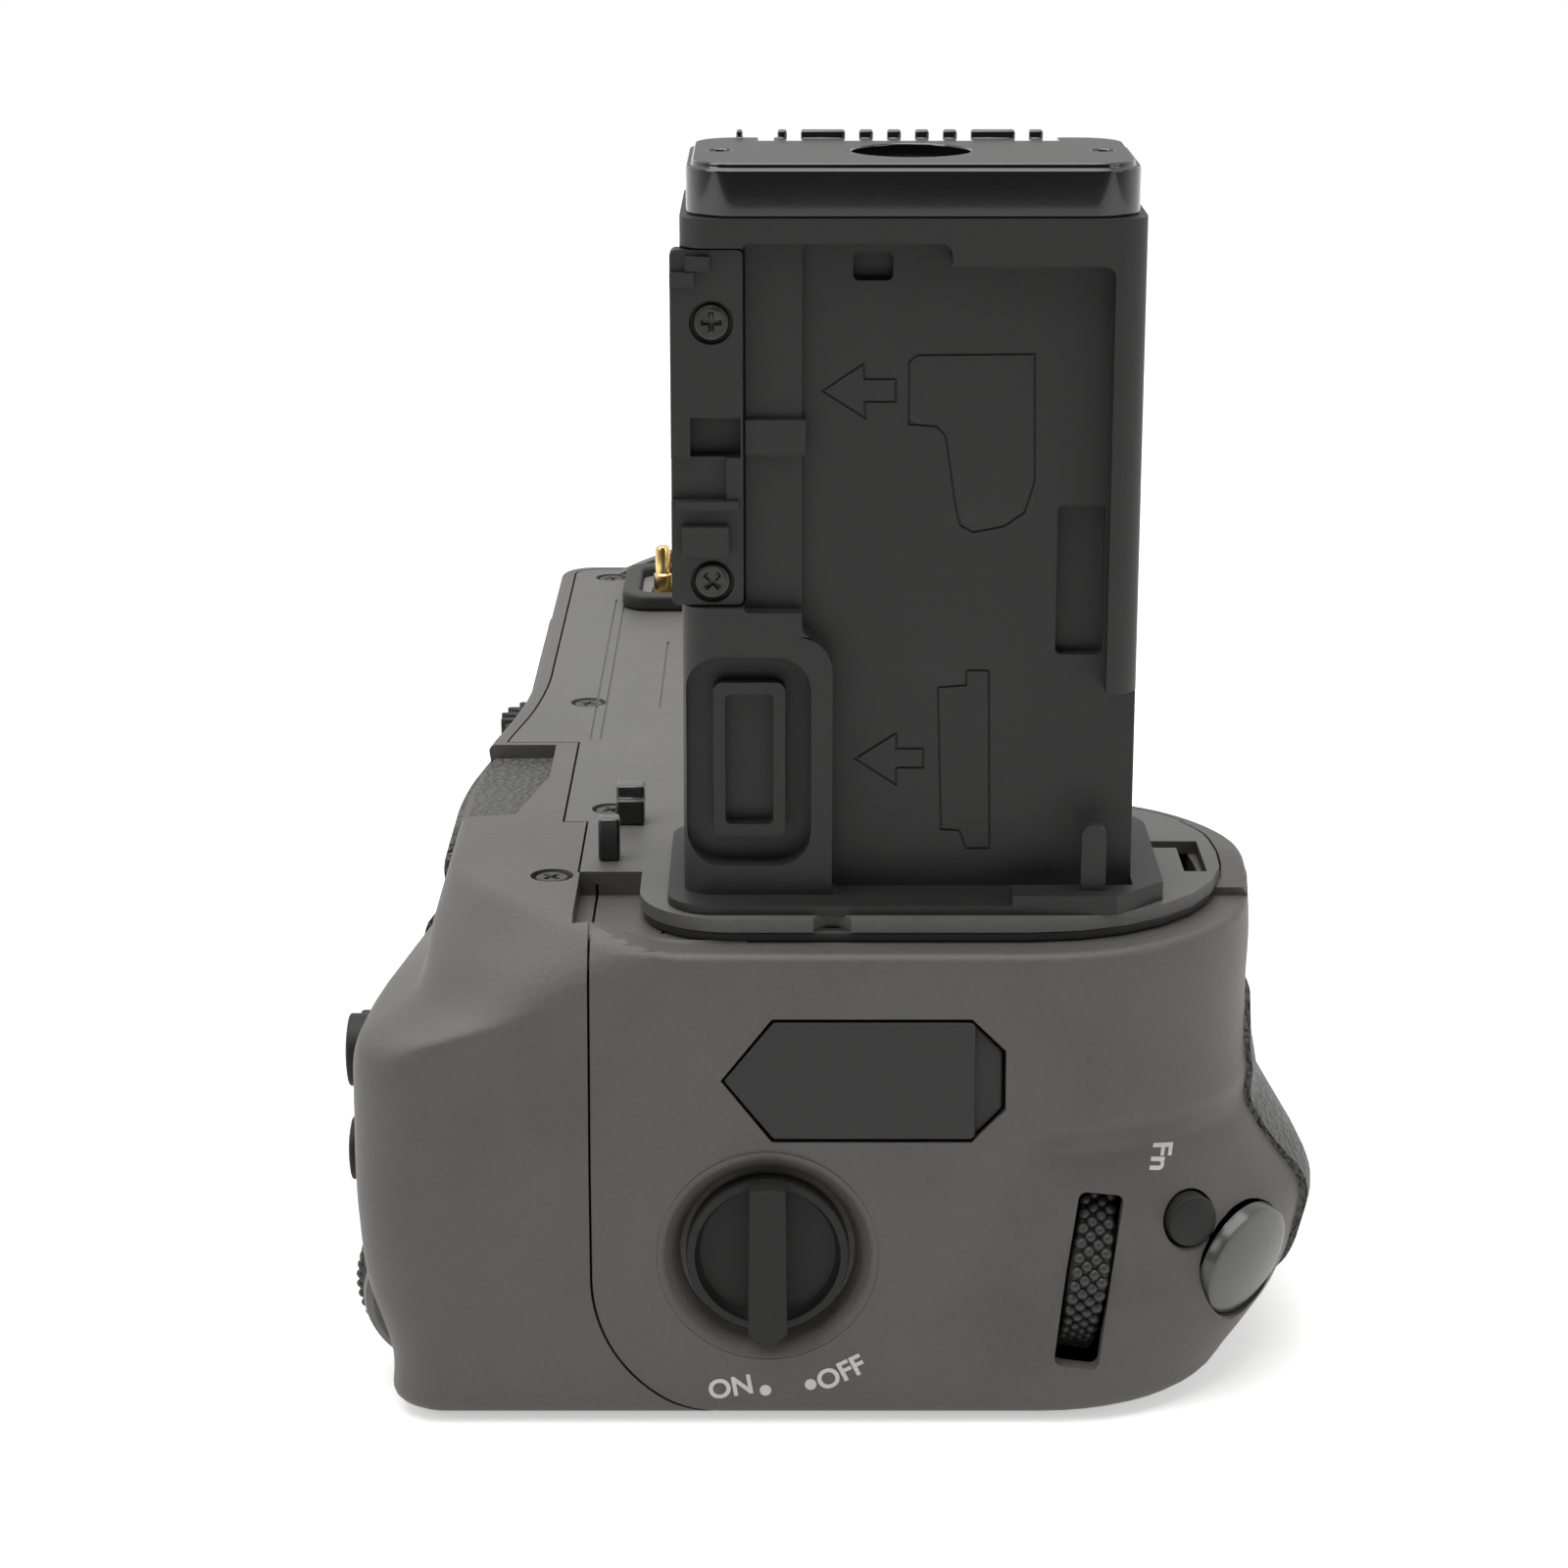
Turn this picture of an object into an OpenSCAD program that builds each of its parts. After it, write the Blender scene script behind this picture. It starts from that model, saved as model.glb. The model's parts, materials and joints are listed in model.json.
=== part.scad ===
// Battery grip for a mirrorless camera.
// Frame: origin on the tripod axis at the resting face, +Z up, +Y to the front of the camera,
// +X to the end that carries the shutter button.

/* [Battery bay] */
// Length of one battery pack
battery_l = 56.8; // [52:0.2:60]
// Width of one battery pack, upright in the bay
battery_w = 38.4; // [36:0.2:41]
// Thickness of one battery pack
battery_t = 20.8; // [19:0.2:22]
// Corner radius of a battery pack
battery_r = 2.6; // [2:0.1:4]
// Running gap round the magazine
bay_gap = 0.2; // [0.15:0.05:0.3]
// Thickness of the magazine's middle web
web_t = 0.8; // [0.6:0.1:1.4]
// Thickness of the magazine's end cover
cover_t = 3; // [2.5:0.1:4.5]
// Thickness of the magazine's inner end plate
tray_end_t = 1; // [0.8:0.1:2]
// Distance from the tripod axis to the inner end of the bay
bay_x = 8.2; // [8.2:0.2:11]
// Radius of the magazine's turn latch
latch_r = 8; // [6:0.5:10]

/* [Housing] */
// Wall of the moulded covers
wall = 1.6; // [1.4:0.1:2]
// Thickness of the base plate
base_t = 1.2; // [1:0.1:1.6]
// Height of the covers' lower edge above the resting face
skirt_z = 0.6; // [0.3:0.1:0.8]
// Radius of the covers' lower edge
skirt_r = 2; // [1.6:0.1:3]
// Thickness of the deck plate under the camera
deck_t = 1.2; // [1:0.1:1.8]
// Thickness of the chassis roof and walls
roof_t = 0.6; // [0.5:0.1:1.2]
// Width of the covers' ledge under the deck plate
ledge_w = 1.2; // [0.8:0.1:1.8]
// Gap round the deck and base plates
plate_gap = 0.2; // [0.1:0.05:0.3]
// Drop of the front cover's rim below the deck at the control end
rim_drop = 2.2; // [1.6:0.1:2.6]
// Width of the groove between that rim and the deck plate
rim_groove = 0.9; // [0.5:0.1:1.4]
// Distance from the tripod axis to the control end
near_x = 70.4; // [69:0.2:74]
// How far the rear control pod stands out from the tripod axis
pod_y = 33.9; // [32.5:0.1:36]
// How far the front hand grip stands out from the tripod axis
grip_y = 50.7; // [49:0.1:54]
// Depth of the scoop round the shutter button
scoop_d = 1.8; // [0.6:0.1:2.6]
// Parting line of the two covers on the control end
seam_y = -13.4; // [-15:0.2:-12]
// Radius of the parting line's lower bend
seam_r = 13; // [9:0.5:15]
// Thickness of the grained rubber skins
skin_t = 0.6; // [0.4:0.1:1]

/* [Tower] */
// Width of the tower, front to rear
tower_w = 38.5; // [37:0.5:40]
// Thickness of the tower
tower_t = 20.8; // [19:0.2:23]
// Height of the tower from the deck to its cap
tower_h = 58.6; // [56:0.2:64]
// Height of the gloss cap
cap_h = 4.4; // [3.6:0.2:6]
// Distance from the tripod axis to the tower's control-end face
tower_x = 60.4; // [59:0.2:61]
// Rear edge of the tower
tower_y = -5.5; // [-6:0.1:-5]
// Corner radius of the tower in plan
tower_r = 2.5; // [1.5:0.5:3.5]
// Wall of the tower
tower_wall = 1.8; // [1.4:0.1:2.4]
// Depth of the recess that stores the camera's battery door
door_recess = 2.6; // [1.8:0.1:3.2]
// Thickness of the tower's foot flange
flange_t = 0.8; // [0.6:0.1:1.4]

/* [Camera screw] */
// Radius of the camera screw's thread
screw_r = 3.1; // [3:0.05:3.2]
// Length of the screw above the deck
screw_out = 5.5; // [4:0.1:7]
// Radius of the screw's spindle in the chassis
spindle_r = 2.5; // [2:0.1:2.8]
// Gear module of the release dial's train
gear_m = 0.7; // [0.66:0.01:0.72]
// Teeth of the release dial
dial_teeth = 24; // [22:1:26]
// Teeth of the screw's gear
screw_teeth = 28; // [26:1:30]
// Thickness of both gears
gear_t = 2; // [1.6:0.1:2.4]
// Running gap above and below the gears
gear_gap = 0.2; // [0.15:0.05:0.3]
// Release dial's axis along X
dial_x = -6.4; // [-6.6:0.1:-5.8]
// Radius of the tripod socket
socket_r = 3.2; // [3.15:0.05:3.3]
// Depth of the tripod socket
socket_l = 8; // [6:0.5:10]

/* [Controls] */
// Power switch: place on the control end, rear to front
switch_y = 1.7; // [0.5:0.1:3]
// Power switch: height
switch_z = 15.7; // [15:0.1:16.5]
// Power switch: radius of the knob
switch_r = 7.1; // [6.5:0.1:7.4]
// Power switch: radius of the dish round the knob
dish_r = 9.1; // [8.6:0.1:9.5]
// Shutter button: radius
shutter_r = 5.2; // [4.8:0.1:5.4]
// Shutter button: full stroke
shutter_stroke = 1.2; // [0.8:0.1:1.5]
// Multi-function button: radius
function_r = 2.3; // [2:0.1:2.5]
// Stroke of the small buttons
button_stroke = 0.6; // [0.4:0.1:0.8]
// Main dial: radius of the wheel
main_r = 9.5; // [9:0.1:9.8]
// Main dial: width of the wheel
main_w = 3.4; // [3:0.1:3.8]
// Quick dial: radius of the wheel
quick_r = 7.4; // [7:0.1:7.6]
// Quick dial: width of the wheel
quick_w = 5; // [4.4:0.2:5.4]
// Start button on the rear: radius
start_r = 3.2; // [2.8:0.1:3.4]
// Lock and focus-point buttons on the rear: radius
lock_r = 2.8; // [2.4:0.1:3]
// Thumb stick: radius of the cap
stick_r = 3.4; // [3:0.1:3.6]
// Gap between a control and its opening
control_gap = 0.25; // [0.2:0.05:0.35]
// Side cover: length
flap_l = 23.6; // [22:0.2:24.4]
// Side cover: height
flap_h = 10.1; // [9.5:0.1:10.6]
// Side cover: thickness
flap_t = 1.8; // [1.5:0.1:2.1]

/* [Hidden] */
$fn = 48;
eps = 0.01;
big = 200;
past = 6;
// Radial play of every shaft and pin that turns
fit = 0.04;

// Colours of the finishes
paint = [0.2, 0.2, 0.19];
plastic = [0.09, 0.09, 0.09];
gloss = [0.02, 0.02, 0.02];
rubber = [0.12, 0.12, 0.12];
steel = [0.5, 0.5, 0.5];
gold = [0.85, 0.65, 0.25];
alloy = [0.4, 0.4, 0.38];
board = [0.05, 0.25, 0.15];

// Heights of the stack from the resting face to the deck
bay_z = base_t + bay_gap;
roof_z = bay_z + battery_w + bay_gap;
roof_top = roof_z + roof_t;
gear_z = roof_top + gear_gap;
deck_low = gear_z + gear_t + gear_gap;
deck_z = deck_low + deck_t;
rim_z = deck_z - rim_drop;
cap_z = deck_z + tower_h;

// Depth and length of the body round the bay
bay_half = battery_t + web_t / 2 + 2 * bay_gap;
body_y = bay_half + wall;
tray_x = -(bay_x + bay_gap);
pack_x = tray_x - tray_end_t - battery_l;
far_x = pack_x - cover_t;

// Smooth step from 0 to 1, and a cubic through a table of [share of the deck's height, value] pairs
function ramp(t) = let (s = min(max(t, 0), 1)) s^2 * (3 - 2 * s);
function slope_at(t, i) =
    let (a = t[max(i - 1, 0)], b = t[min(i + 1, len(t) - 1)]) (b[1] - a[1]) / (b[0] - a[0]);
function span_of(h, t, i = 0) = i >= len(t) - 2 || h < t[i + 1][0] ? i : span_of(h, t, i + 1);
function curve_at(h, t) =
    let (i = span_of(h, t), d = t[i + 1][0] - t[i][0], s = min(max((h - t[i][0]) / d, 0), 1),
         m0 = slope_at(t, i) * d, m1 = slope_at(t, i + 1) * d)
    (2 * s^3 - 3 * s^2 + 1) * t[i][1] + (s^3 - 2 * s^2 + s) * m0
    + (3 * s^2 - 2 * s^3) * t[i + 1][1] + (s^3 - s^2) * m1;

// Upright profiles of the moulded body, from the resting face to the deck
end_profile = [[0, 0], [0.18, 0], [0.54, -0.2], [0.7, -1.1], [0.91, -2.4], [1, -3.2]];
pod_profile = [[0, -2.6], [0.12, -2.9], [0.27, -0.9], [0.4, -0.2], [0.5, 0], [0.66, 0], [0.735, -0.2],
    [0.77, -1.2], [0.795, -3.4], [0.825, -5.3], [0.9, -6], [1, -7.3]];
grip_profile = [[0, -7.6], [0.06, -6.2], [0.12, -3.9], [0.2, -0.9], [0.28, 0.6], [0.385, 1.1], [0.5, -1.9],
    [0.62, -4.3], [0.75, -4.8], [0.88, -4.6], [1, -4.8]];
pod_rounding = [[0, 4], [0.57, 6], [0.76, 6], [0.86, 13], [1, 24]];
pod_start = [[0, 43], [0.5, 43], [0.6, 46], [0.69, 55], [0.78, 55], [0.85, 36], [1, 12]];
grip_start = [[0, 14], [0.45, 14], [0.72, 24], [1, 35]];
grip_rounding = [[0, 17], [0.55, 21], [1, 22]];
grip_slope = [[0, 6.4], [0.55, 4.4], [1, 2.4]];
far_rounding = 4;
end_run = 8;
waist_x = -8;
waist_run = 11;
function end_face(z) = near_x + curve_at(z / deck_z, end_profile);
function pod_face(z) = -pod_y - curve_at(z / deck_z, pod_profile);
function grip_face(z) = grip_y + curve_at(z / deck_z, grip_profile);
function grip_bend(z) = curve_at(z / deck_z, grip_rounding);
function skirt(z) = z >= skirt_z + skirt_r ? 0
    : skirt_r - sqrt(max(skirt_r^2 - (skirt_z + skirt_r - max(z, skirt_z))^2, 0));

// Scoop that leads the finger to the shutter button, deepest below its upper edge
scoop_start = 13;
scoop_lean = 0.32;
scoop_run = 8;
scoop_top = 28;
function scoop(p, z) = scoop_d * ramp((p[1] - scoop_start - scoop_lean * (z - 4)) / scoop_run)
    * ramp((scoop_top - z) / 4) * ramp((z - 1) / 14) * ramp((grip_y + 3 - p[1]) / scoop_run)
    * ramp((p[0] - near_x + 26) / 12);

// One level of the body: corners as [x, y, setback of the rounding], inset by i
function corners(z, i) = let (k = i + skirt(z), e = end_face(z) - k, g = curve_at(z / deck_z, grip_start)) [
    [far_x + k, -body_y + k, max(far_rounding - i, 0.3)],
    [waist_x, -body_y + k, 9],
    [curve_at(z / deck_z, pod_start), pod_face(z) + k, 6],
    [e, pod_face(z) + k, curve_at(z / deck_z, pod_rounding) - i],
    [e, grip_face(z) - skirt(z) - grip_bend(z) - end_run - 0.5, end_run],
    [e, grip_face(z) - k, grip_bend(z) - i],
    [g, grip_face(z) - curve_at(z / deck_z, grip_slope) - k, 9 - i],
    [g - waist_run, body_y - k, 7 + i],
    [far_x + k, body_y - k, max(far_rounding - i, 0.3)]];
bend = 0.5523;
function unit(v) = v / norm(v);
function rounded(c, n) = [for (i = [0 : len(c) - 1])
    let (p = [c[i][0], c[i][1]], a = c[(i + len(c) - 1) % len(c)], b = c[(i + 1) % len(c)],
         u = unit([a[0], a[1]] - p) * c[i][2], v = unit([b[0], b[1]] - p) * c[i][2])
    for (j = [0 : n]) let (t = j / n)
        p + u * ((1 - t)^3 + 3 * (1 - t)^2 * t * (1 - bend))
          + v * (t^3 + 3 * t^2 * (1 - t) * (1 - bend))];
function outline(z, inset = 0) =
    [for (p = rounded(corners(z, inset), 7)) p - [1, 0.4] * scoop(p, z)];

// Loft through levels of the body
module body_form(levels, inset = 0) {
    rings = [for (z = levels) [for (p = outline(z, inset)) [p[0], p[1], z]]];
    m = len(rings[0]);
    k = len(levels) - 1;
    cells = [for (i = [0 : k - 1], j = [0 : m - 1]) let (n = (j + 1) % m)
        [i * m + j, i * m + n, (i + 1) * m + j, (i + 1) * m + n]];
    polyhedron(
        points = [for (r = rings) each r],
        faces = concat(
            [[for (j = [0 : m - 1]) j]],
            [[for (j = [m - 1 : -1 : 0]) k * m + j]],
            [for (c = cells) each [[c[0], c[2], c[3]], [c[0], c[3], c[1]]]]),
        convexity = 6);
}
side_shares = [0.12, 0.2, 0.29, 0.38, 0.46, 0.54, 0.61, 0.68, 0.735, 0.77, 0.795, 0.825, 0.87, 0.93, 0.98];
skirt_levels = [for (h = [0, 0.125, 0.42, 1]) skirt_z + h * skirt_r];
outer_levels = concat([skirt_z - 1], skirt_levels, side_shares * deck_z, [deck_z, deck_z + 1]);
inner_shares = [0.12, 0.29, 0.46, 0.54, 0.61, 0.68, 0.8];
inner_levels = concat([0, skirt_z + skirt_r], inner_shares * deck_z, [roof_top, roof_top + 1]);

// Helpers: half spaces, rounded plates in plan and standing plates across X
module above(z) { translate([-big, -big, z]) cube(2 * big); }
module below(z) { translate([-big, -big, z - 2 * big]) cube(2 * big); }
module round_rect(size, r) {
    translate([r, 0]) square([size[0] - 2 * r, size[1]]);
    translate([0, r]) square([size[0], size[1] - 2 * r]);
    for (x = [r, size[0] - r], y = [r, size[1] - r]) translate([x, y]) circle(r);
}
module plate(size, h, r) { linear_extrude(h) round_rect(size, r); }
module across_x(t) { rotate([90, 0, 90]) linear_extrude(t) children(); }
module standing(size, t, r) { across_x(t) round_rect(size, r); }
module along_x(r, l) { rotate([0, 90, 0]) cylinder(r = r, h = l); }
module along_y(r, l) { rotate([-90, 0, 0]) cylinder(r = r, h = l); }
// Stands its children at a place in plan, at height z
module stand(p, z) { translate([p[0], p[1], z]) children(); }
// Points local z along a heading: azimuth from +X, then elevation
module aim(heading) { rotate([0, 90 - heading[1], heading[0]]) children(); }
// Push button standing on its axis with a domed top at h
module dome_button(r, low, h, dome) {
    ball = (r^2 + dome^2) / (2 * dome);
    rotate_extrude() intersection() {
        translate([0, low]) square([r, h - low]);
        translate([0, h - ball]) circle(ball, $fn = 96);
    }
}
// Round head with a cross recess, top face at z = 0
module screw_head(r, h) {
    difference() {
        translate([0, 0, -h]) cylinder(r = r, h = h);
        for (a = [0, 90]) rotate(a) translate([-r * 0.6, -r * 0.14, -h / 2]) cube([r * 1.2, r * 0.28, h]);
    }
}
// Wheel outline with rounded ribs on its rim
function ribbed(r, n, depth) = [for (i = [0 : 4 * n - 1])
    let (a = i * 90 / n, k = [0, 0, 1, 1][i % 4]) (r - k * depth) * [cos(a), sin(a)]];
// Involute gear outline, with a tooth centred on +X
pressure = 20;
backlash = 0.14;
function involute(r, rb) = let (t = sqrt(max((r / rb)^2 - 1, 0))) t * 180 / PI - atan(t);
function gear_outline(n) =
    let (rp = n * gear_m / 2, rb = rp * cos(pressure), ra = rp + 0.95 * gear_m, rf = rp - 1.25 * gear_m,
         half = 90 / n - backlash / 4 / rp * 180 / PI + involute(rp, rb),
         flank = [for (i = [0 : 3]) let (r = rb + (ra - rb) * i / 3) [r, half - involute(r, rb)]])
    [for (k = [0 : n - 1], q = concat([[rf, -half]], [for (f = flank) [f[0], -f[1]]],
            [for (i = [3 : -1 : 0]) flank[i]], [[rf, half]]))
        q[0] * [cos(k * 360 / n + q[1]), sin(k * 360 / n + q[1])]];

// Places that several pieces share
gear_reach = (dial_teeth + screw_teeth) * gear_m / 2;
dial_y = -sqrt(gear_reach^2 - dial_x^2);
dial_r = (dial_teeth / 2 + 1) * gear_m;
gear_turn = atan2(dial_y, dial_x);
axle_r = 1.2;
control_wall = [48.2, 49.4];
control_wall_y = [-20, 40.8];
step_x = 8.8;
step_y = -17.1;
block_x = 36;
block_y = -14.9;
well_x = 51.3;
well_y = -9.4;
deck_inset = wall + plate_gap;
collar_inset = wall + rim_groove;
collar_bend = 8;
collar_at = [end_face(deck_z) - collar_inset - collar_bend, well_y + collar_bend];
deck_screw_xy = [[far_x + 6, -17.2], [31.9, -13], [far_x + 6, 17.2], [20, 15]];
block_screw_xy = [52.4, -17.3];
base_screw_xy = [[-2, -14], [-2, 14], [44, -17], [44, 30], [61, -12], [61, 13]];
head_r = 1.8;
head_h = 0.6;
shank_r = 0.9;
leg_r = 2.2;
bulkhead_r = 4;
screw_tip = 0.3;
base_screw_l = 5;
block_bite = 2;
block_boss = 4;

// Outline of the deck plate in plan, grown by o
module deck_shape(o = 0) {
    difference() {
        intersection() {
            polygon(outline(deck_z, deck_inset - o));
            union() {
                translate([-big, -big]) square([big + block_x, 2 * big]);
                polygon(outline(deck_z, collar_inset - o));
            }
        }
        translate([step_x + o, -big]) square([big, big + step_y - o]);
        translate([block_x + o, -big]) square([big, big + block_y - o]);
        translate([well_x + o, -big]) square([big, big + well_y - o]);
        difference() {
            translate([collar_at[0], collar_at[1] - big]) square(big);
            translate(collar_at) circle(collar_bend + o);
        }
    }
}

// Region behind the parting line, as seen along X
module rear_region() {
    translate([-big / 2, 0, 0]) across_x(big) difference() {
        translate([-big, -big]) square([big + seam_y + seam_r, 2 * big]);
        translate([seam_y + seam_r, skirt_z + seam_r]) circle(seam_r);
        translate([seam_y, skirt_z + seam_r]) square([big, big]);
    }
}

// Hollow housing before it is parted: walls, ledge under the deck and the magazine's mouth
module housing() {
    difference() {
        body_form(outer_levels);
        below(skirt_z);
        above(deck_z);
        difference() {
            body_form(inner_levels, wall);
            above(roof_top);
        }
        translate([0, 0, roof_top - eps]) linear_extrude(big) deck_shape(-ledge_w);
        translate([0, 0, deck_low]) linear_extrude(big) deck_shape(plate_gap);
        translate([well_x, block_y, rim_z]) cube(big);
        translate([far_x - 1, -bay_half, base_t])
            standing([2 * bay_half, roof_z - base_t], cover_t + past, battery_r);
    }
}

// Rear controls: places as [x, z], and the wheel's axis
start_at = [58, 30];
lock_at = [58.5, 21];
point_at = [49, 27.5];
stick_at = [38.4, 21];
quick_at = [59.5, 9.8];
quick_out = 0.7;
quick_x = quick_at[0] - quick_w / 2;
quick_y = quick_r - pod_y - quick_out;
fairing_r = quick_r - 1;
fairing_l = 4;
fairing_x = quick_x + quick_w + control_gap;
stick_hole = 4.2;
window_x = [9.9, 34.5];
window_y = -19.4;
window_z = deck_low - 0.8;
inlay_edge = 0.6;

module rear_hole(at, r) { translate([at[0], -pod_y - past, at[1]]) along_y(r, 2 * past + 2); }

module rear_cover() {
    color(paint) difference() {
        union() {
            intersection() {
                housing();
                rear_region();
            }
            translate([fairing_x, quick_y, quick_at[1]]) along_x(fairing_r, fairing_l);
        }
        rear_hole(start_at, start_r + control_gap);
        rear_hole(lock_at, lock_r + control_gap);
        rear_hole(point_at, lock_r + control_gap);
        rear_hole(stick_at, stick_hole);
        translate([quick_x - control_gap, quick_y - big, quick_at[1] - quick_r - control_gap])
            cube([quick_w + 2 * control_gap, big, 2 * (quick_r + control_gap)]);
        translate([fairing_x - eps, quick_y, quick_at[1]]) along_x(axle_r, fairing_l - 1 + eps);
        translate([dial_x, dial_y, roof_top]) cylinder(r = dial_r + control_gap, h = deck_low - roof_top);
        translate([window_x[0], -big, window_z]) cube([window_x[1] - window_x[0], big + window_y, big]);
        translate([block_screw_xy[0], block_screw_xy[1], deck_z - head_h]) cylinder(r = head_r, h = past);
        translate([block_screw_xy[0], block_screw_xy[1], 0]) cylinder(r = shank_r, h = deck_z);
    }
}

// Front controls: headings as [azimuth, elevation] and places on the end face or its corner
function corner_at(z, a) = let (p = [end_face(z), grip_face(z)] - grip_bend(z) * [1 - cos(a), 1 - sin(a)])
    let (q = p - [1, 0.4] * scoop(p, z)) [q[0], q[1], z];
shutter_at = corner_at(12.4, 40.5);
shutter_heading = [46, -13];
function_at = corner_at(17.7, 21.8);
function_heading = [22, 0];
main_lean = 7.6;
main_out = 0.8;
main_y = 29.3;
main_z = 12.9;
main_at = [end_face(main_z) - scoop([near_x, main_y], main_z) + main_out - main_r, main_y, main_z];
main_slot = 15.6;
dish_d = 2;
dish_rim = 0.4;
dish_floor = 1.2;
switch_at = [end_face(switch_z), switch_y, switch_z];
flap_y = -2;
flap_z = 26.3;
flap_lean = atan((end_face(flap_z) - end_face(flap_z + flap_h)) / flap_h);
flap_point = 4.2;
flap_cut = 2.6;
frame_w = 0.9;
frame_t = 1;

// Side cover's outline on its face: pointed at the hinge end, cut at the corners of the pull end
module flap_shape(o = 0) {
    c = flap_cut;
    polygon([[-o, flap_h / 2], [flap_point - o / 2, flap_h + o], [flap_l - c, flap_h + o],
        [flap_l + o, flap_h - c + o / 2], [flap_l + o, c - o / 2], [flap_l - c, -o],
        [flap_point - o / 2, -o]]);
}
// Stands the side cover's frame on the end face: x outward, y along the cover, z up
module on_flap() {
    translate([end_face(flap_z), flap_y, flap_z]) rotate([0, -flap_lean, 0]) children();
}

module front_cover() {
    color(paint) difference() {
        housing();
        rear_region();
        translate([switch_at[0] - past, switch_y, switch_z]) along_x(dish_r + dish_rim, 2 * past);
        on_flap() translate([-past, 0, 0]) across_x(2 * past) flap_shape(frame_w);
        translate(main_at) rotate([-main_lean, 0, 0])
            translate([main_r - past, -main_w / 2 - control_gap, -main_slot / 2])
                cube([2 * past, main_w + 2 * control_gap, main_slot]);
        translate(shutter_at) aim(shutter_heading) translate([0, 0, -past])
            cylinder(r = shutter_r + control_gap, h = 2 * past);
        translate(function_at) aim(function_heading) translate([0, 0, -past])
            cylinder(r = function_r + control_gap, h = 2 * past);
    }
}

module deck_plate() {
    color(paint) difference() {
        union() {
            translate([0, 0, deck_low]) linear_extrude(deck_t) deck_shape();
            translate([far_x + guard_x, 0, deck_z - eps]) across_x(guard_t) polygon(guard_outline);
        }
        cylinder(r = collar_r + control_gap, h = big);
        for (p = concat(deck_screw_xy, [[dial_x, dial_y]])) translate([p[0], p[1], 0]) {
            cylinder(r = shank_r, h = big);
            translate([0, 0, deck_z - head_h]) cylinder(r = head_r, h = past);
        }
        translate([dial_x, dial_y, 0]) cylinder(r = axle_r, h = big);
        stand(connector_at, 0) plate(block_size, big, block_r);
        translate([tower_x - tower_t + cable_inset[0], tower_y + cable_inset[1], 0])
            plate([tower_t - 2 * cable_inset[0] - 1, tower_w - 2 * cable_inset[1]], big, 2);
        translate([end_face(deck_z) - collar_inset, notch_y, 0]) cylinder(r = notch_r, h = big);
        stand(slot_at_deck, 0) {
            cube([slot_leg_x, slot_w, big]);
            translate([0, -slot_leg_y, 0]) cube([slot_w, slot_leg_y + eps, big]);
        }
    }
}
cable_inset = [4, 6];
notch_y = 7.2;
notch_r = 1.6;
slot_w = 2;
slot_leg_x = 9;
slot_leg_y = 2.5;
slot_at_deck = [tower_x - tower_t + 2.6, tower_y + tower_w + 5.4];
guard_x = 2.4;
guard_t = 2;
guard_h = 3;
guard_outline = [[-16.5, 0], [-13.8, 1.2], [-9.6, guard_h - 0.2], [-8, guard_h], [2.6, guard_h],
    [4.2, guard_h - 0.2], [8.4, 1.2], [11.1, 0]];

module rim_seal() {
    color(rubber) translate([0, 0, rim_z]) linear_extrude(deck_low - rim_z) difference() {
        intersection() {
            deck_shape(-0.3);
            translate([well_x + 1, -big]) square([big, 2 * big]);
        }
        deck_shape(-ledge_w - 0.4);
    }
}

module base_plate() {
    color(plastic) difference() {
        linear_extrude(base_t) polygon(outline(skirt_z, wall + plate_gap));
        translate([0, 0, -1]) cylinder(r = bush_r + plate_gap / 2, h = past);
        for (p = base_screw_xy) translate([p[0], p[1], -eps]) {
            cylinder(r = head_r, h = head_h + eps);
            cylinder(r = shank_r, h = past);
        }
    }
}

// Tripod bush, camera screw and the dial that drives it
bush_r = 5.2;
bush_flange = [6.8, 1];
column_r = 7.9;
collar_r = 4.4;
spindle_l = 10.8;
spindle_end = 1;
axle_low = roof_z - 6;
boss_size = [5, 7.5, 8];

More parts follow.
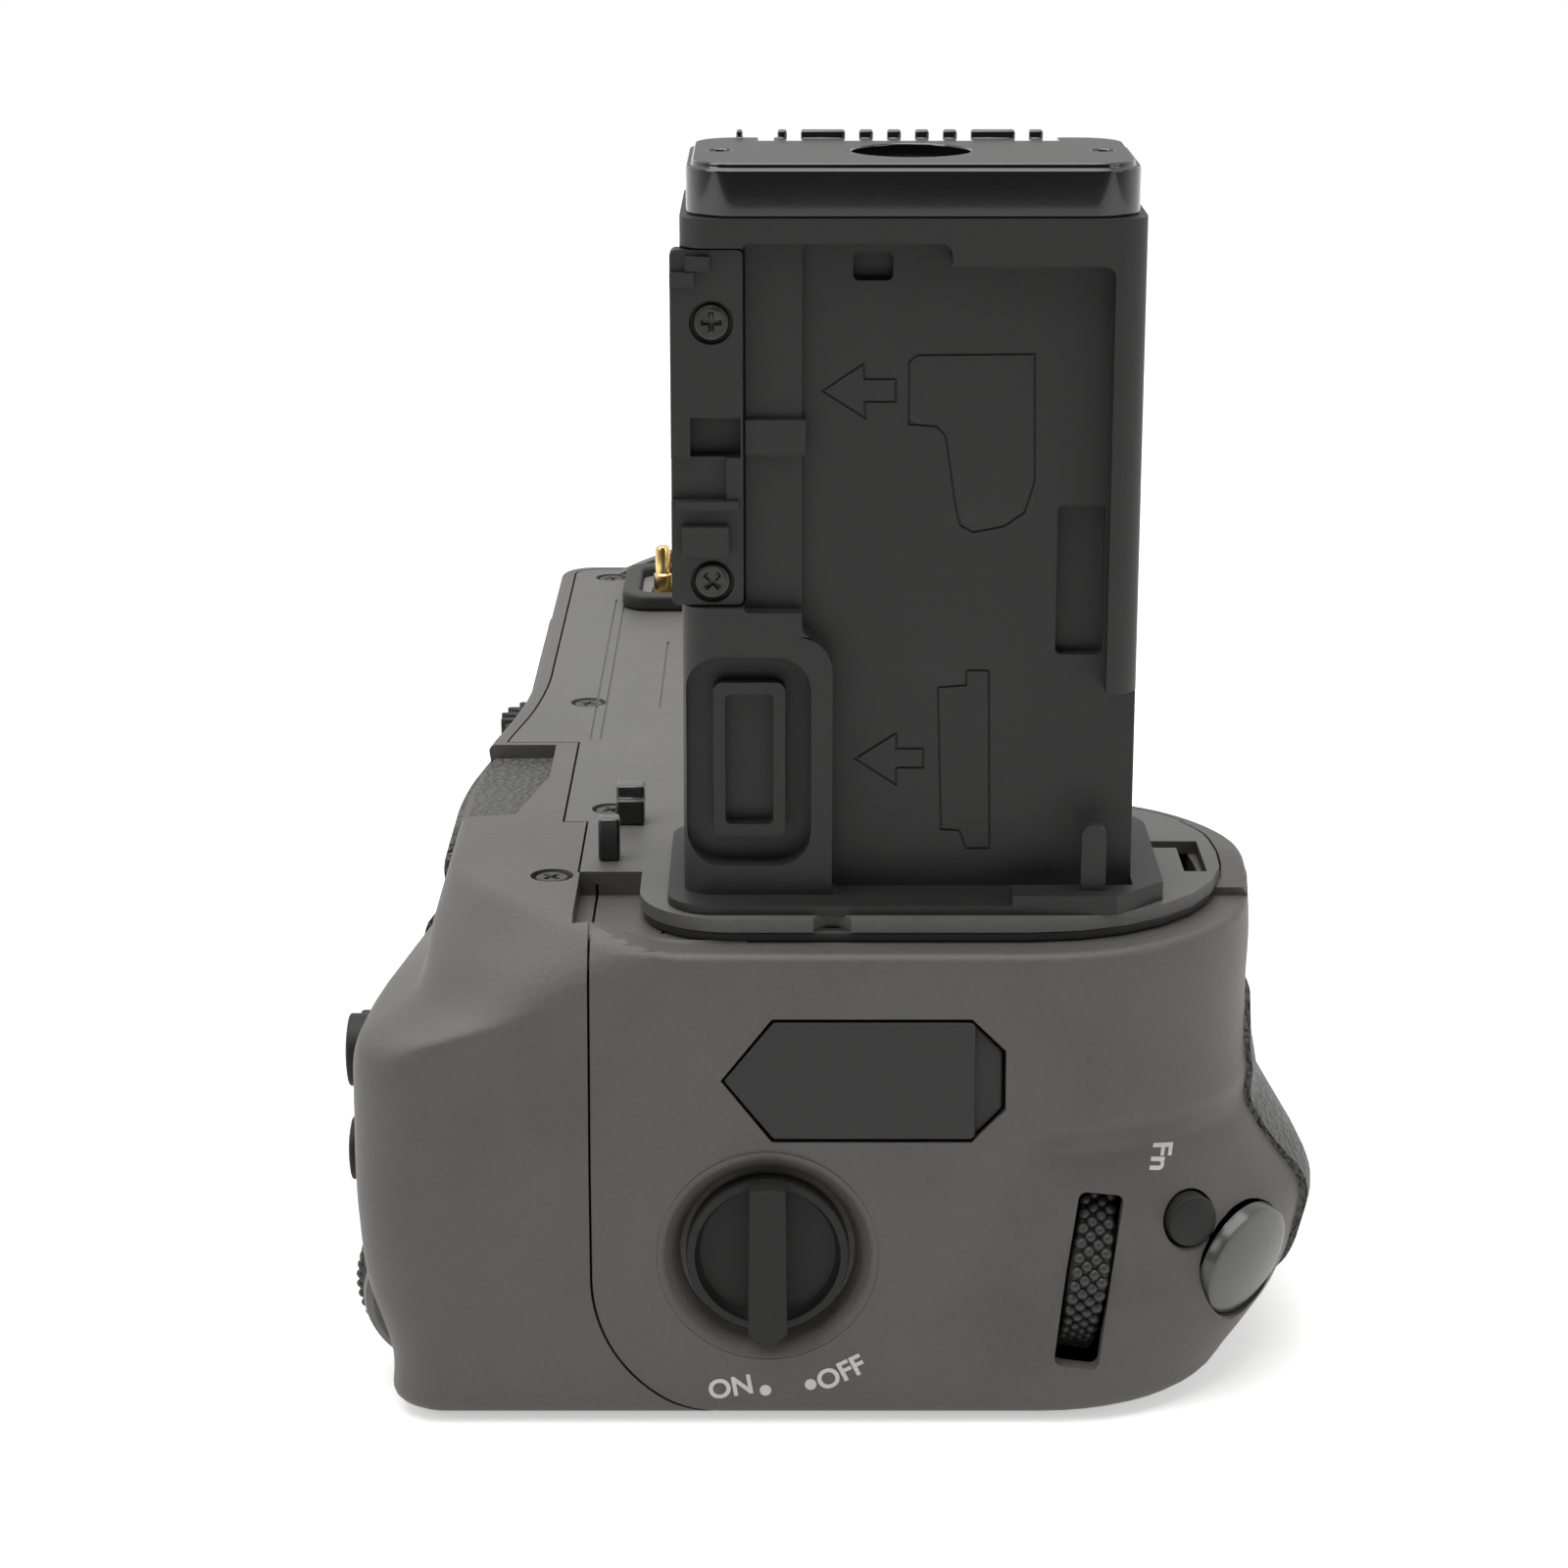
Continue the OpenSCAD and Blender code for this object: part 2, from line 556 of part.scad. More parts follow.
module chassis() {
    color(alloy) difference() {
        union() {
            translate([0, 0, roof_z]) linear_extrude(roof_t) polygon(outline(roof_top, wall + plate_gap));
            translate([-bay_x, -bay_half + plate_gap, base_t])
                standing([2 * (bay_half - plate_gap), roof_z - base_t + eps], 2 * roof_t, bulkhead_r);
            translate([0, 0, base_t]) cylinder(r = column_r, h = roof_z - base_t + eps);
            translate([-bay_x, dial_y - boss_size[1] / 2, roof_z - boss_size[2]])
                cube(boss_size + [0, 0, eps]);
            translate([control_wall[0], control_wall_y[0], base_t])
                standing([control_wall_y[1] - control_wall_y[0], roof_z - base_t + eps],
                    control_wall[1] - control_wall[0], 3);
            for (p = base_screw_xy) stand(p, base_t) cylinder(r = leg_r, h = roof_z - base_t + eps);
            for (p = deck_screw_xy) stand(p, roof_z) cylinder(r = leg_r, h = deck_low - roof_z);
            stand(block_screw_xy, roof_z - block_boss) cylinder(r = leg_r, h = block_boss + eps);
            for (p = board_posts) stand(p, board_z + board_t)
                cylinder(r = post_r, h = roof_z - board_z - board_t + eps);
            translate([rear_board_x[0] + 2, rear_board_y, rear_board_z[1] - 2])
                cube([shelf_l, 2, roof_z - rear_board_z[1] + 2 + eps]);
        }
        cylinder(r = bush_flange[0] + plate_gap / 2, h = base_t + bush_flange[1] + plate_gap);
        cylinder(r = bush_r + plate_gap / 2, h = socket_l + 2);
        translate([0, 0, gear_z - spindle_l - spindle_end]) cylinder(r = spindle_r + fit, h = big);
        translate([dial_x, dial_y, axle_low]) cylinder(r = axle_r, h = big);
        for (p = base_screw_xy) stand(p, 0) cylinder(r = shank_r, h = head_h + base_screw_l);
        for (p = deck_screw_xy) stand(p, roof_z + screw_tip) cylinder(r = shank_r, h = big);
        stand(block_screw_xy, roof_z - block_bite) cylinder(r = shank_r, h = big);
        for (y = contact_y, z = contact_z) translate([-bay_x - eps, y - contact_size[0] / 2, z])
            cube([1 + eps, contact_size[0], contact_size[1]]);
        translate([control_wall[0] - 1, switch_y, switch_z]) along_x(spindle_r + fit, past);
    }
}

module tripod_socket() {
    color(steel) difference() {
        union() {
            cylinder(r = bush_r, h = socket_l + 1.4);
            translate([0, 0, base_t]) cylinder(r = bush_flange[0], h = bush_flange[1]);
        }
        translate([0, 0, -1]) cylinder(r = socket_r, h = socket_l + 1);
    }
}

module attachment_screw() {
    color(steel) {
        translate([0, 0, gear_z - spindle_l]) cylinder(r = spindle_r, h = spindle_l + eps);
        translate([0, 0, gear_z]) rotate(gear_turn - 180 / screw_teeth)
            linear_extrude(gear_t) polygon(gear_outline(screw_teeth));
        translate([0, 0, gear_z + gear_t - eps]) cylinder(r = collar_r, h = deck_z - gear_z - gear_t);
        translate([0, 0, deck_z - 0.5]) cylinder(r = screw_r, h = screw_out - 0.3);
        translate([0, 0, deck_z + screw_out - 0.8]) cylinder(r1 = screw_r, r2 = screw_r - 0.7, h = 0.8);
    }
}

module release_dial() {
    color(plastic) translate([dial_x, dial_y, gear_z]) difference() {
        rotate(gear_turn - 180) linear_extrude(gear_t) polygon(gear_outline(dial_teeth));
        translate([0, 0, -1]) cylinder(r = axle_r + fit, h = gear_t + 2);
    }
}

module release_axle() {
    color(steel) translate([dial_x, dial_y, 0]) {
        translate([0, 0, axle_low]) cylinder(r = axle_r, h = deck_z - head_h - axle_low + eps);
        translate([0, 0, deck_z]) screw_head(head_r, head_h);
    }
}

// Screw groups
module plate_screw(p, low) {
    translate([p[0], p[1], deck_z]) screw_head(head_r, head_h);
    translate([p[0], p[1], low]) cylinder(r = shank_r, h = deck_z - head_h - low + eps);
}
module deck_screws() {
    color(steel) {
        for (p = deck_screw_xy) plate_screw(p, roof_z + screw_tip);
        plate_screw(block_screw_xy, roof_z - block_bite);
    }
}
module base_screws() {
    color(steel) for (p = base_screw_xy) translate([p[0], p[1], 0]) {
        mirror([0, 0, 1]) screw_head(head_r, head_h);
        translate([0, 0, head_h - eps]) cylinder(r = shank_r, h = base_screw_l);
    }
}

// Boards and bay contacts
board_z = roof_z - 4;
board_t = 1.2;
board_r = 1.5;
chip_t = 1.2;
chip_w = 6;
chip_inset = 5;
chip_step = 9;
post_r = 1.6;
board_x = [12, 46];
board_y = [-13, 20];
board_posts = [for (x = [board_x[0] + 3, board_x[1] - 3], y = [board_y[0] + 3, board_y[1] - 3]) [x, y]];
contact_y = [for (s = [-1, 1], i = [-1, 0, 1]) s * (battery_t + web_t) / 2 + i * 4];
contact_z = [6];
contact_size = [2.4, 9];

module main_board() {
    color(board) {
        stand([board_x[0], board_y[0]], board_z)
            plate([board_x[1] - board_x[0], board_y[1] - board_y[0]], board_t, board_r);
        for (i = [0 : 2])
            stand([board_x[0] + chip_inset + i * chip_step, board_y[0] + chip_step], board_z - chip_t)
            cube([chip_w, chip_w * (1 + i / 2), chip_t + eps]);
    }
}
module bay_contacts() {
    color(gold) for (y = contact_y, z = contact_z)
        translate([-bay_x, y - contact_size[0] / 2, z]) cube([1, contact_size[0], contact_size[1]]);
}

// Battery magazine, drawn out at the far end
module magazine_tray() {
    color(plastic) difference() {
        union() {
            translate([pack_x, -web_t / 2, bay_z]) cube([battery_l + eps, web_t, battery_w]);
            translate([tray_x - tray_end_t, -bay_half + bay_gap, bay_z])
                standing([2 * (bay_half - bay_gap), battery_w], tray_end_t, battery_r);
        }
        for (y = contact_y, z = contact_z) translate([tray_x - tray_end_t - 1, y - contact_size[0] / 2, z])
            cube([tray_end_t + 2, contact_size[0], contact_size[1]]);
    }
}
module magazine_contacts() {
    color(gold) for (y = contact_y, z = contact_z)
        translate([tray_x - tray_end_t, y - contact_size[0] / 2, z])
            cube([tray_end_t, contact_size[0], contact_size[1]]);
}
latch_pocket = 2.2;
latch_shaft = 2;
latch_at = [0, bay_z + battery_w / 2];
module magazine_cover() {
    color(paint) difference() {
        intersection() {
            translate([far_x, -bay_half + bay_gap, bay_z])
                standing([2 * (bay_half - bay_gap), battery_w], cover_t, battery_r);
            linear_extrude(big) polygon(outline(deck_z / 2));
        }
        translate([far_x - 1, latch_at[0], latch_at[1]]) along_x(latch_r + control_gap, latch_pocket + 1);
        translate([far_x, latch_at[0], latch_at[1]]) along_x(latch_shaft + fit, 10);
    }
}
module magazine_latch() {
    bar_w = latch_r * 0.45;
    color(plastic) translate([far_x, latch_at[0], latch_at[1]]) {
        translate([latch_pocket - 1, 0, 0]) along_x(latch_r, 1 - 0.15);
        intersection() {
            translate([0, -bar_w / 2, -latch_r]) cube([latch_pocket - 0.5, bar_w, 2 * latch_r]);
            along_x(latch_r, latch_pocket);
        }
        translate([latch_pocket - 0.5, 0, 0]) along_x(latch_shaft, cover_t - latch_pocket + 0.3);
    }
}
module pack(y) {
    color(plastic) translate([pack_x, y, bay_z]) standing([battery_t, battery_w], battery_l, battery_r);
}
module battery_rear() { pack(-web_t / 2 - battery_t); }
module battery_front() { pack(web_t / 2); }

// Connector to the camera, on the deck near the far end
connector_at = [far_x + 8.2, -13.3];
block_size = [13, 21];
frame_h = 1.9;
pin_r = 1.05;
pin_tip = 0.4;
pin_out = 6.3;
pin_xy = [for (i = [0 : 4]) [connector_at[0] + 8.4, connector_at[1] + 2.5 + 4 * i]];
connector_slot = [6, 18.5];
slot_floor = 0.8;
slot_at = [5.4, 1.25];
block_out = 0.8;
block_r = 2;
frame_band = 2;
frame_r = 3.2;

module connector_frame() {
    color(rubber) stand(connector_at, deck_z) difference() {
        translate([-frame_band, -frame_band, 0])
            plate(block_size + 2 * [frame_band, frame_band], frame_h, frame_r);
        translate([0, 0, -1]) plate(block_size, big, block_r);
    }
}
module connector_block() {
    color(alloy) difference() {
        stand(connector_at, roof_top) plate(block_size, deck_z + block_out - roof_top, block_r);
        stand(connector_at + slot_at, roof_top + slot_floor) plate(connector_slot, big, 1);
    }
}
module contact_pins() {
    color(gold) for (p = pin_xy) translate([p[0], p[1], roof_top + slot_floor]) {
        h = deck_z + pin_out - roof_top - slot_floor;
        cylinder(r = pin_r, h = h - pin_tip);
        translate([0, 0, h - pin_tip - eps]) cylinder(r1 = pin_r, r2 = pin_r - pin_tip, h = pin_tip);
    }
}
// Hooks that take the place of the camera's battery door hinge
hook_at = [34.6, -12.3];
hook_size = [2.8, 2.6, 2.4];
hook_step = [0.6, 1.2];
post_at = [46.4, -13.4];
post_size = [2, 1.9, 3.9];
module door_hooks() {
    color(plastic) {
        stand(hook_at, deck_z) cube(hook_size);
        stand(hook_at, deck_z + hook_size[2] - eps)
            cube([hook_size[0] - hook_step[0], hook_size[1], hook_step[1]]);
        stand(post_at, deck_z) cube(post_size);
    }
}

// Tower that stands in the camera's battery bay; local u runs to the front, v up, d inward from its face
module on_tower(d, u, v) { translate([tower_x - d, tower_y + u, deck_z + v]) children(); }
module cut_panel(u0, u1, v0, v1, d, r) { on_tower(d, u0, v0) standing([u1 - u0, v1 - v0], d + past, r); }
clip_u = [-0.8, 5.4];
clip_v = [26, tower_h - 2.4];
clip_gap = 0.2;
clip_t = door_recess - 0.6;
channel_u = 10.1;
channel_d = door_recess - 0.8;
store_u = 12.7;
store_v = 23.5;
store_r = 3;
strip_v = store_v + 2.1;
rim_u = tower_w - 2.7;
rim_v = 18.5;
lip_v = tower_h - 2;
wide_lip = [22.4, tower_h - 3.9];
pocket = [rim_u - 4.2, 21.4, rim_u - 0.2, 34.3];
notch = [14.3, lip_v - 3.4, 17.6, lip_v - 1];
pocket_d = door_recess + 1.3;
frame_u = [0.3, 10.9];
frame_v = [3.4, 21.8];
frame_d = 2.2;
frame_corner = 3;
ring_at = [2.6, 5.9];
ring_size = [6.1, 13.5];
ring_w = 1;
ring_low = 0.7;
ring_r = 0.8;
panel_r = 0.5;
bar_v = clip_v[0] + 12.9;
bar_size = [door_recess - 1, 5, 2.9];
face_wall = 3;
clip_screw_v = [clip_v[0] + 2.2, clip_v[1] - 6.2];
clip_screw_u = 2.6;
clip_bite = 2.9;

// Foot flange: rounded at the rear, cut at the front corner and raised there
foot_rear = 1.4;
foot_far = 1;
foot_front = 3.2;
foot_side = 2.7;
foot_bend = 4;
foot_cut = 4.3;
foot_rise = 0.9;
foot_u = 28;
tab_u = 33.9;
tab_size = [2.1, 6.8];
tab_t = 1.4;
tab_gap = 0.3;
module foot_shape() {
    low = [tower_x - tower_t - foot_far, tower_y - foot_rear];
    high = [tower_x + foot_front, tower_y + tower_w + foot_side];
    difference() {
        translate(low) round_rect(high - low, foot_bend);
        translate(high - [foot_cut, 0]) rotate(-45) square(big);
    }
}
// Rounded corner of the storage pocket's surround, as a cut
module store_corner() {
    on_tower(door_recess, store_u - store_r, store_v - store_r) across_x(door_recess + past) difference() {
        square(store_r + eps);
        circle(store_r);
    }
}

module tower_shell() {
    color(plastic) {
        difference() {
            union() {
                translate([tower_x - tower_t, tower_y, deck_z]) plate([tower_t, tower_w], tower_h, tower_r);
                translate([0, 0, deck_z]) linear_extrude(flange_t) foot_shape();
            }
            cut_panel(store_u, rim_u, rim_v - 4, wide_lip[1], door_recess, 1);
            cut_panel(channel_u, wide_lip[0], store_v, lip_v, door_recess, 1);
            cut_panel(store_u, tower_w + past, flange_t, rim_v, door_recess, panel_r);
            store_corner();
            cut_panel(clip_u[1] - clip_gap, channel_u + 1, strip_v, lip_v, channel_d, panel_r);
            cut_panel(clip_u[0] - past, clip_u[1], clip_v[0], clip_v[1], door_recess, panel_r);
            cut_panel(frame_u[0], frame_u[1], frame_v[0], frame_v[1], frame_d, frame_corner);
            cut_panel(pocket[0], pocket[2], pocket[1], pocket[3], pocket_d, panel_r);
            cut_panel(notch[0], notch[2], notch[1], notch[3], pocket_d, panel_r);
            translate([tower_x - tower_t + tower_wall, tower_y + tower_wall, deck_z - 1])
                plate([tower_t - tower_wall - door_recess - face_wall, tower_w - 2 * tower_wall],
                    tower_h - tower_wall + 1, 1);
            for (v = clip_screw_v) on_tower(door_recess + clip_bite, clip_screw_u, v) along_x(shank_r, past);
        }
        difference() {
            on_tower(frame_d, ring_at[0], ring_at[1]) standing(ring_size, frame_d - ring_low, ring_r);
            on_tower(frame_d + 1, ring_at[0] + ring_w, ring_at[1] + ring_w)
                standing(ring_size - 2 * [ring_w, ring_w], past, panel_r);
        }
        on_tower(door_recess, clip_u[1], bar_v) cube(bar_size);
        translate([0, 0, deck_z + flange_t - eps]) linear_extrude(foot_rise + eps) difference() {
            foot_shape();
            translate([-big, -big]) square([2 * big, big + tower_y + foot_u]);
            translate([tower_x - tower_t - big, -big]) square([tower_t + big, big + tower_y + tower_w]);
        }
        on_tower(-tab_gap, tab_u, flange_t + foot_rise - 1) standing(tab_size, tab_t, 1);
    }
}

cap_inset = 0.5;
cap_r = 4;
cap_edge = 0.5;
cap_hole = [5, 2];
dimple = [1, 0.5];
dimple_u = 3.2;
cap_size = [tower_t - 2 * cap_inset, tower_w - 2 * cap_inset];
comb_w = 1.2;
comb_d = 2.6;
comb_l = 3;
comb_step = 2.4;
comb_side = 2.6;
ridge_t = 1.2;
ridge_h = 0.7;
ridge_gap_w = 3;
ridge_gaps = [0.17, 0.86];
leaf_in = 0.6;
leaf_l = 2.4;
leaf_t = 0.6;
leaf_h = 1.8;
comb_u = [for (i = [-4 : 4]) tower_w / 2 + comb_step * i + (abs(i) > 2 ? sign(i) * comb_side : 0)];
module tower_cap() {
    color(gloss) difference() {
        translate([tower_x - tower_t + cap_inset, tower_y + cap_inset, cap_z]) {
            plate(cap_size, cap_h - cap_edge, cap_r);
            translate([cap_edge, cap_edge, cap_h - cap_edge - eps])
                plate(cap_size - 2 * [cap_edge, cap_edge], cap_edge + eps, cap_r - cap_edge);
            translate([cap_edge, cap_r, cap_h - eps]) cube([ridge_t, cap_size[1] - 2 * cap_r, ridge_h]);
        }
        translate([tower_x - tower_t / 2, tower_y + tower_w / 2, cap_z + cap_h - cap_hole[1]])
            cylinder(r = cap_hole[0], h = past);
        for (u = [dimple_u, tower_w - dimple_u])
            translate([tower_x - tower_t / 2, tower_y + u, cap_z + cap_h - dimple[1]])
                cylinder(r = dimple[0], h = past);
        for (u = comb_u) translate([tower_x - tower_t, tower_y + u - comb_w / 2, cap_z + cap_h - comb_d])
            cube([cap_inset + comb_l, comb_w, big]);
        for (u = ridge_gaps * tower_w)
            translate([tower_x - tower_t, tower_y + u - ridge_gap_w / 2, cap_z + cap_h])
                cube([cap_inset + comb_l, ridge_gap_w, big]);
    }
}
module tower_contacts() {
    low = [tower_x - tower_t + cap_inset + leaf_in, tower_y - leaf_t / 2, cap_z + cap_h - comb_d];
    color(gold) for (u = comb_u) translate(low + [0, u, 0]) cube([leaf_l, leaf_t, leaf_h]);
}

// Catch for the stored battery door, held by two screws: a block with a tab, a ledge and two steps
clip_slot = [1.6, 12.7, 4.2, 3.4];
clip_tab = [0.9, 4.5, 3.9, 2.5];
clip_ledge = [0.4, 8.4, 5.2, 0.7];
clip_step = [2, 1.2];
step_at = [[0, 3.2], [1.3, 1.9]];
step_out = 0.5;
clip_shelf = 0.7;
seat_d = 0.7;
module on_clip(u, v) { on_tower(door_recess, clip_u[0] + u, clip_v[0] + v) children(); }
module door_clip() {
    w = clip_u[1] - clip_u[0] - clip_gap;
    h = clip_v[1] - clip_v[0];
    color(plastic) difference() {
        union() {
            on_clip(0, clip_gap) standing([w, h - 2 * clip_gap], clip_t, panel_r);
            on_clip(clip_tab[0], clip_tab[1]) cube([clip_t + 1, clip_tab[2], clip_tab[3]]);
            on_clip(clip_ledge[0], clip_ledge[1]) cube([clip_t + step_out, clip_ledge[2], clip_ledge[3]]);
            for (d = step_at) on_clip(d[0], h - d[1]) cube([clip_t + step_out, clip_step[0], clip_step[1]]);
        }
        on_clip(clip_slot[0], clip_slot[1]) translate([-1, 0, 0]) cube([past, clip_slot[2], clip_slot[3]]);
        on_clip(-1, clip_ledge[1] + clip_ledge[3]) translate([clip_t - clip_shelf, 0, 0])
            cube([past, w - 2 * clip_gap, clip_slot[1] - clip_ledge[1] - clip_ledge[3] + eps]);
        for (v = clip_screw_v) on_tower(0, clip_screw_u, v) {
            translate([clip_t - door_recess - seat_d, 0, 0]) along_x(head_r + fit, past);
            translate([-past, 0, 0]) along_x(shank_r, past + 2);
        }
    }
}
module clip_screws() {
    color(steel) for (v = clip_screw_v) on_tower(door_recess - clip_t, clip_screw_u, v) {
        translate([-fit, 0, 0]) rotate([0, 90, 0]) screw_head(head_r, head_h);
        translate([-clip_t - 2, 0, 0]) along_x(shank_r, clip_t + 2 - head_h - fit + eps);
    }
}

// Grained skins on the thumb rest and the hand grip: a stretch of the body's outline between two levels,
// thickened outward and trimmed to a rounded panel
module skin(from, to, levels) {
    m = to - from + 1;
    k = len(levels);
    n = m * k;
    side = [for (inset = [0, -skin_t], z = levels) let (o = outline(z, inset))
        for (j = [from : to]) [o[j][0], o[j][1], z]];
    cells = [for (i = [0 : k - 2], j = [0 : m - 2]) let (c = i * m + j) [c, c + 1, c + m, c + m + 1]];
    edge = concat(
        [for (j = [0 : m - 2]) [j, j + 1]],
        [for (i = [0 : k - 2]) [i * m + m - 1, (i + 1) * m + m - 1]],
        [for (j = [m - 1 : -1 : 1]) [(k - 1) * m + j, (k - 1) * m + j - 1]],
        [for (i = [k - 1 : -1 : 1]) [i * m, (i - 1) * m]]);
    polyhedron(points = side, convexity = 4, faces = concat(
        [for (c = cells) each [[c[0], c[1], c[3]], [c[0], c[3], c[2]]]],
        [for (c = cells) each [[n + c[0], n + c[3], n + c[1]], [n + c[0], n + c[2], n + c[3]]]],
        [for (e = edge) each [[e[0], n + e[1], e[1]], [e[0], n + e[0], n + e[1]]]]));
}
skin_levels = [for (i = [4 : len(outer_levels) - 4]) outer_levels[i]];
thumb_x = [far_x + 14, 33.4];
thumb_z = [6, 40.8];
grip_x = [3, 56];
grip_z = [4.5, 33];
module thumb_pad() {
    color(rubber) intersection() {
        skin(7, 18, skin_levels);
        translate([thumb_x[0], -18, thumb_z[0]]) rotate([90, 0, 0])
            plate([thumb_x[1] - thumb_x[0], thumb_z[1] - thumb_z[0]], 40, 6);
    }
}
module thumb_inlay() {
    color(rubber) translate([0, 0, window_z]) linear_extrude(skin_t) intersection() {
        polygon(outline(deck_low, inlay_edge));
        translate([window_x[0] + plate_gap, -big])
            square([window_x[1] - window_x[0] - 2 * plate_gap, big + window_y - plate_gap]);
    }
}
module grip_pad() {
    color(rubber) intersection() {
        skin(42, 60, skin_levels);
        translate([grip_x[0], 60, grip_z[0]]) rotate([90, 0, 0])
            plate([grip_x[1] - grip_x[0], grip_z[1] - grip_z[0]], 34, 8);
    }
}

// Power switch: knob in a dish, on a shaft to the switch wafer
ridge_w = 3.5;
ridge_out = 1.8;
module switch_dish() {
    color(paint) translate(switch_at) rotate([0, 90, 0]) difference() {
        translate([0, 0, -dish_d - dish_floor]) cylinder(r = dish_r + dish_rim, h = dish_d + dish_floor);
        translate([0, 0, -dish_d]) cylinder(r1 = switch_r + 0.3, r2 = dish_r, h = dish_d + eps);
        translate([0, 0, -past]) cylinder(r = spindle_r + fit, h = 2 * past);
    }
}
module power_switch() {
    color(plastic) translate(switch_at) {
        translate([0.2 - dish_d, 0, 0]) along_x(switch_r, dish_d - 0.4);
        intersection() {
            translate([-0.6, -ridge_w / 2, -switch_r]) cube([ridge_out + 0.6, ridge_w, 2 * switch_r]);
            translate([-1, 0, 0]) along_x(switch_r, past);
        }
        translate([-0.6, -0.7, -switch_r - 0.5]) cube([ridge_out * 0.6, 1.4, 1]);
        translate([control_wall[1] + 0.4 - switch_at[0], 0, 0])
            along_x(spindle_r, switch_at[0] - control_wall[1] - dish_d);
    }
}
wafer_r = 6;
wafer_t = 3.4;
module switch_wafer() {
    color(board) difference() {
        translate([control_wall[1], switch_y, switch_z]) along_x(wafer_r, wafer_t);
        translate([control_wall[1] - 1, switch_y, switch_z]) along_x(spindle_r + fit, past);
    }
}

// Main dial under the forefinger
main_ribs = 44;
rib_depth = 0.35;
arm_t = 1.2;
arm_gap = 0.5;
arm_w = 6;
module on_main() { translate(main_at) rotate([-main_lean, 0, 0]) children(); }
module main_dial() {
    color(rubber) on_main() rotate([90, 0, 0]) difference() {
        translate([0, 0, -main_w / 2]) linear_extrude(main_w) polygon(ribbed(main_r, main_ribs, rib_depth));
        translate([0, 0, -main_w]) cylinder(r = axle_r + fit, h = 2 * main_w);
    }
}
module main_dial_axle() {
    l = main_w + 2 * (arm_gap + arm_t);
    color(steel) on_main() translate([0, -l / 2, 0]) along_y(axle_r, l);
}
module main_dial_bracket() {
    reach = main_at[0] - control_wall[1] + 3;
    color(alloy) on_main() difference() {
        for (s = [0, 1]) mirror([0, s, 0]) translate([3 - reach, main_w / 2 + arm_gap, -arm_w / 2])
            cube([reach, arm_t, arm_w]);
        translate([0, -10, 0]) along_y(axle_r, 20);
    }
}

// Shutter and multi-function buttons, each over its own switch on a stem from the control wall
button_depth = 1.7;
shutter_out = 1.1;
shutter_dome = 0.8;
function_out = 0.9;
function_dome = 0.3;
switch_gap = 0.2;
switch_body = 3;
shutter_switch_r = 3;
function_switch_r = 1.8;
module button_switch(at, heading, r, stroke) {
    low = -button_depth - stroke - switch_gap - switch_body;
    inward = low + switch_body / 2;
    toward = [cos(heading[1]) * cos(heading[0]), cos(heading[1]) * sin(heading[0]), sin(heading[1])];
    root = at + inward * toward;
    color(plastic) {
        translate(at) aim(heading) translate([0, 0, low]) cylinder(r = r, h = switch_body);
        translate([control_wall[1], root[1], root[2]]) along_x(r / 2, root[0] - control_wall[1]);
    }
}
module shutter_button() {
    color(gloss) translate(shutter_at) aim(shutter_heading)
        dome_button(shutter_r, -button_depth, shutter_out, shutter_dome);
}
module shutter_switch() { button_switch(shutter_at, shutter_heading, shutter_switch_r, shutter_stroke); }
module function_button() {
    color(plastic) translate(function_at) aim(function_heading)
        dome_button(function_r, -button_depth, function_out, function_dome);
}
module function_switch() { button_switch(function_at, function_heading, function_switch_r, button_stroke); }

// Quick dial on the rear
quick_ribs = 40;
boss_r = 2.4;
module quick_dial() {
    color(rubber) translate([quick_x, quick_y, quick_at[1]]) rotate([0, 90, 0]) difference() {
        linear_extrude(quick_w) polygon(ribbed(quick_r, quick_ribs, rib_depth));
        translate([0, 0, -1]) cylinder(r = axle_r + fit, h = quick_w + 2);
    }
}
quick_arm_x = quick_x - arm_gap - arm_t;
module quick_dial_axle() {
    color(steel) translate([quick_arm_x, quick_y, quick_at[1]])
        along_x(axle_r, fairing_x - quick_arm_x + fairing_l - 1);
}
module quick_dial_bracket() {
    color(alloy) difference() {
        union() {
            translate([quick_arm_x, quick_y + 0.7, base_t]) cube([arm_t, 6, quick_at[1] + boss_r - base_t]);
            translate([quick_arm_x, quick_y, quick_at[1]]) along_x(boss_r, arm_t);
        }
        translate([quick_arm_x - 1, quick_y, quick_at[1]]) along_x(axle_r, past);
    }
}

// Rear buttons over the rear board
rear_board_x = [29, 61.5];
shelf_l = 24;
rear_board_y = -22.4;
rear_board_t = 1.2;
rear_board_z = [18, roof_z - 4];
rear_out = 1.3;
rear_depth = 6;
rear_dome = 0.35;
module rear_button(at, r) {
    color(plastic) translate([at[0], pod_face(at[1]), at[1]]) rotate([90, 0, 0])
        dome_button(r, -rear_depth, rear_out, rear_dome);
}
module start_button() { rear_button(start_at, start_r); }
module lock_button() { rear_button(lock_at, lock_r); }
module point_button() { rear_button(point_at, lock_r); }
module rear_board() {
    color(board) translate([rear_board_x[0], rear_board_y, rear_board_z[0]]) rotate([90, 0, 0])
        plate([rear_board_x[1] - rear_board_x[0], rear_board_z[1] - rear_board_z[0]], rear_board_t, 1);
}
module rear_switches() {
    face = rear_board_y - rear_board_t;
    color(plastic) for (at = [start_at, lock_at, point_at])
        translate([at[0], pod_face(at[1]) + rear_depth + button_stroke + 0.2, at[1]])
            along_y(2, face - pod_face(at[1]) - rear_depth - button_stroke - 0.2);
}

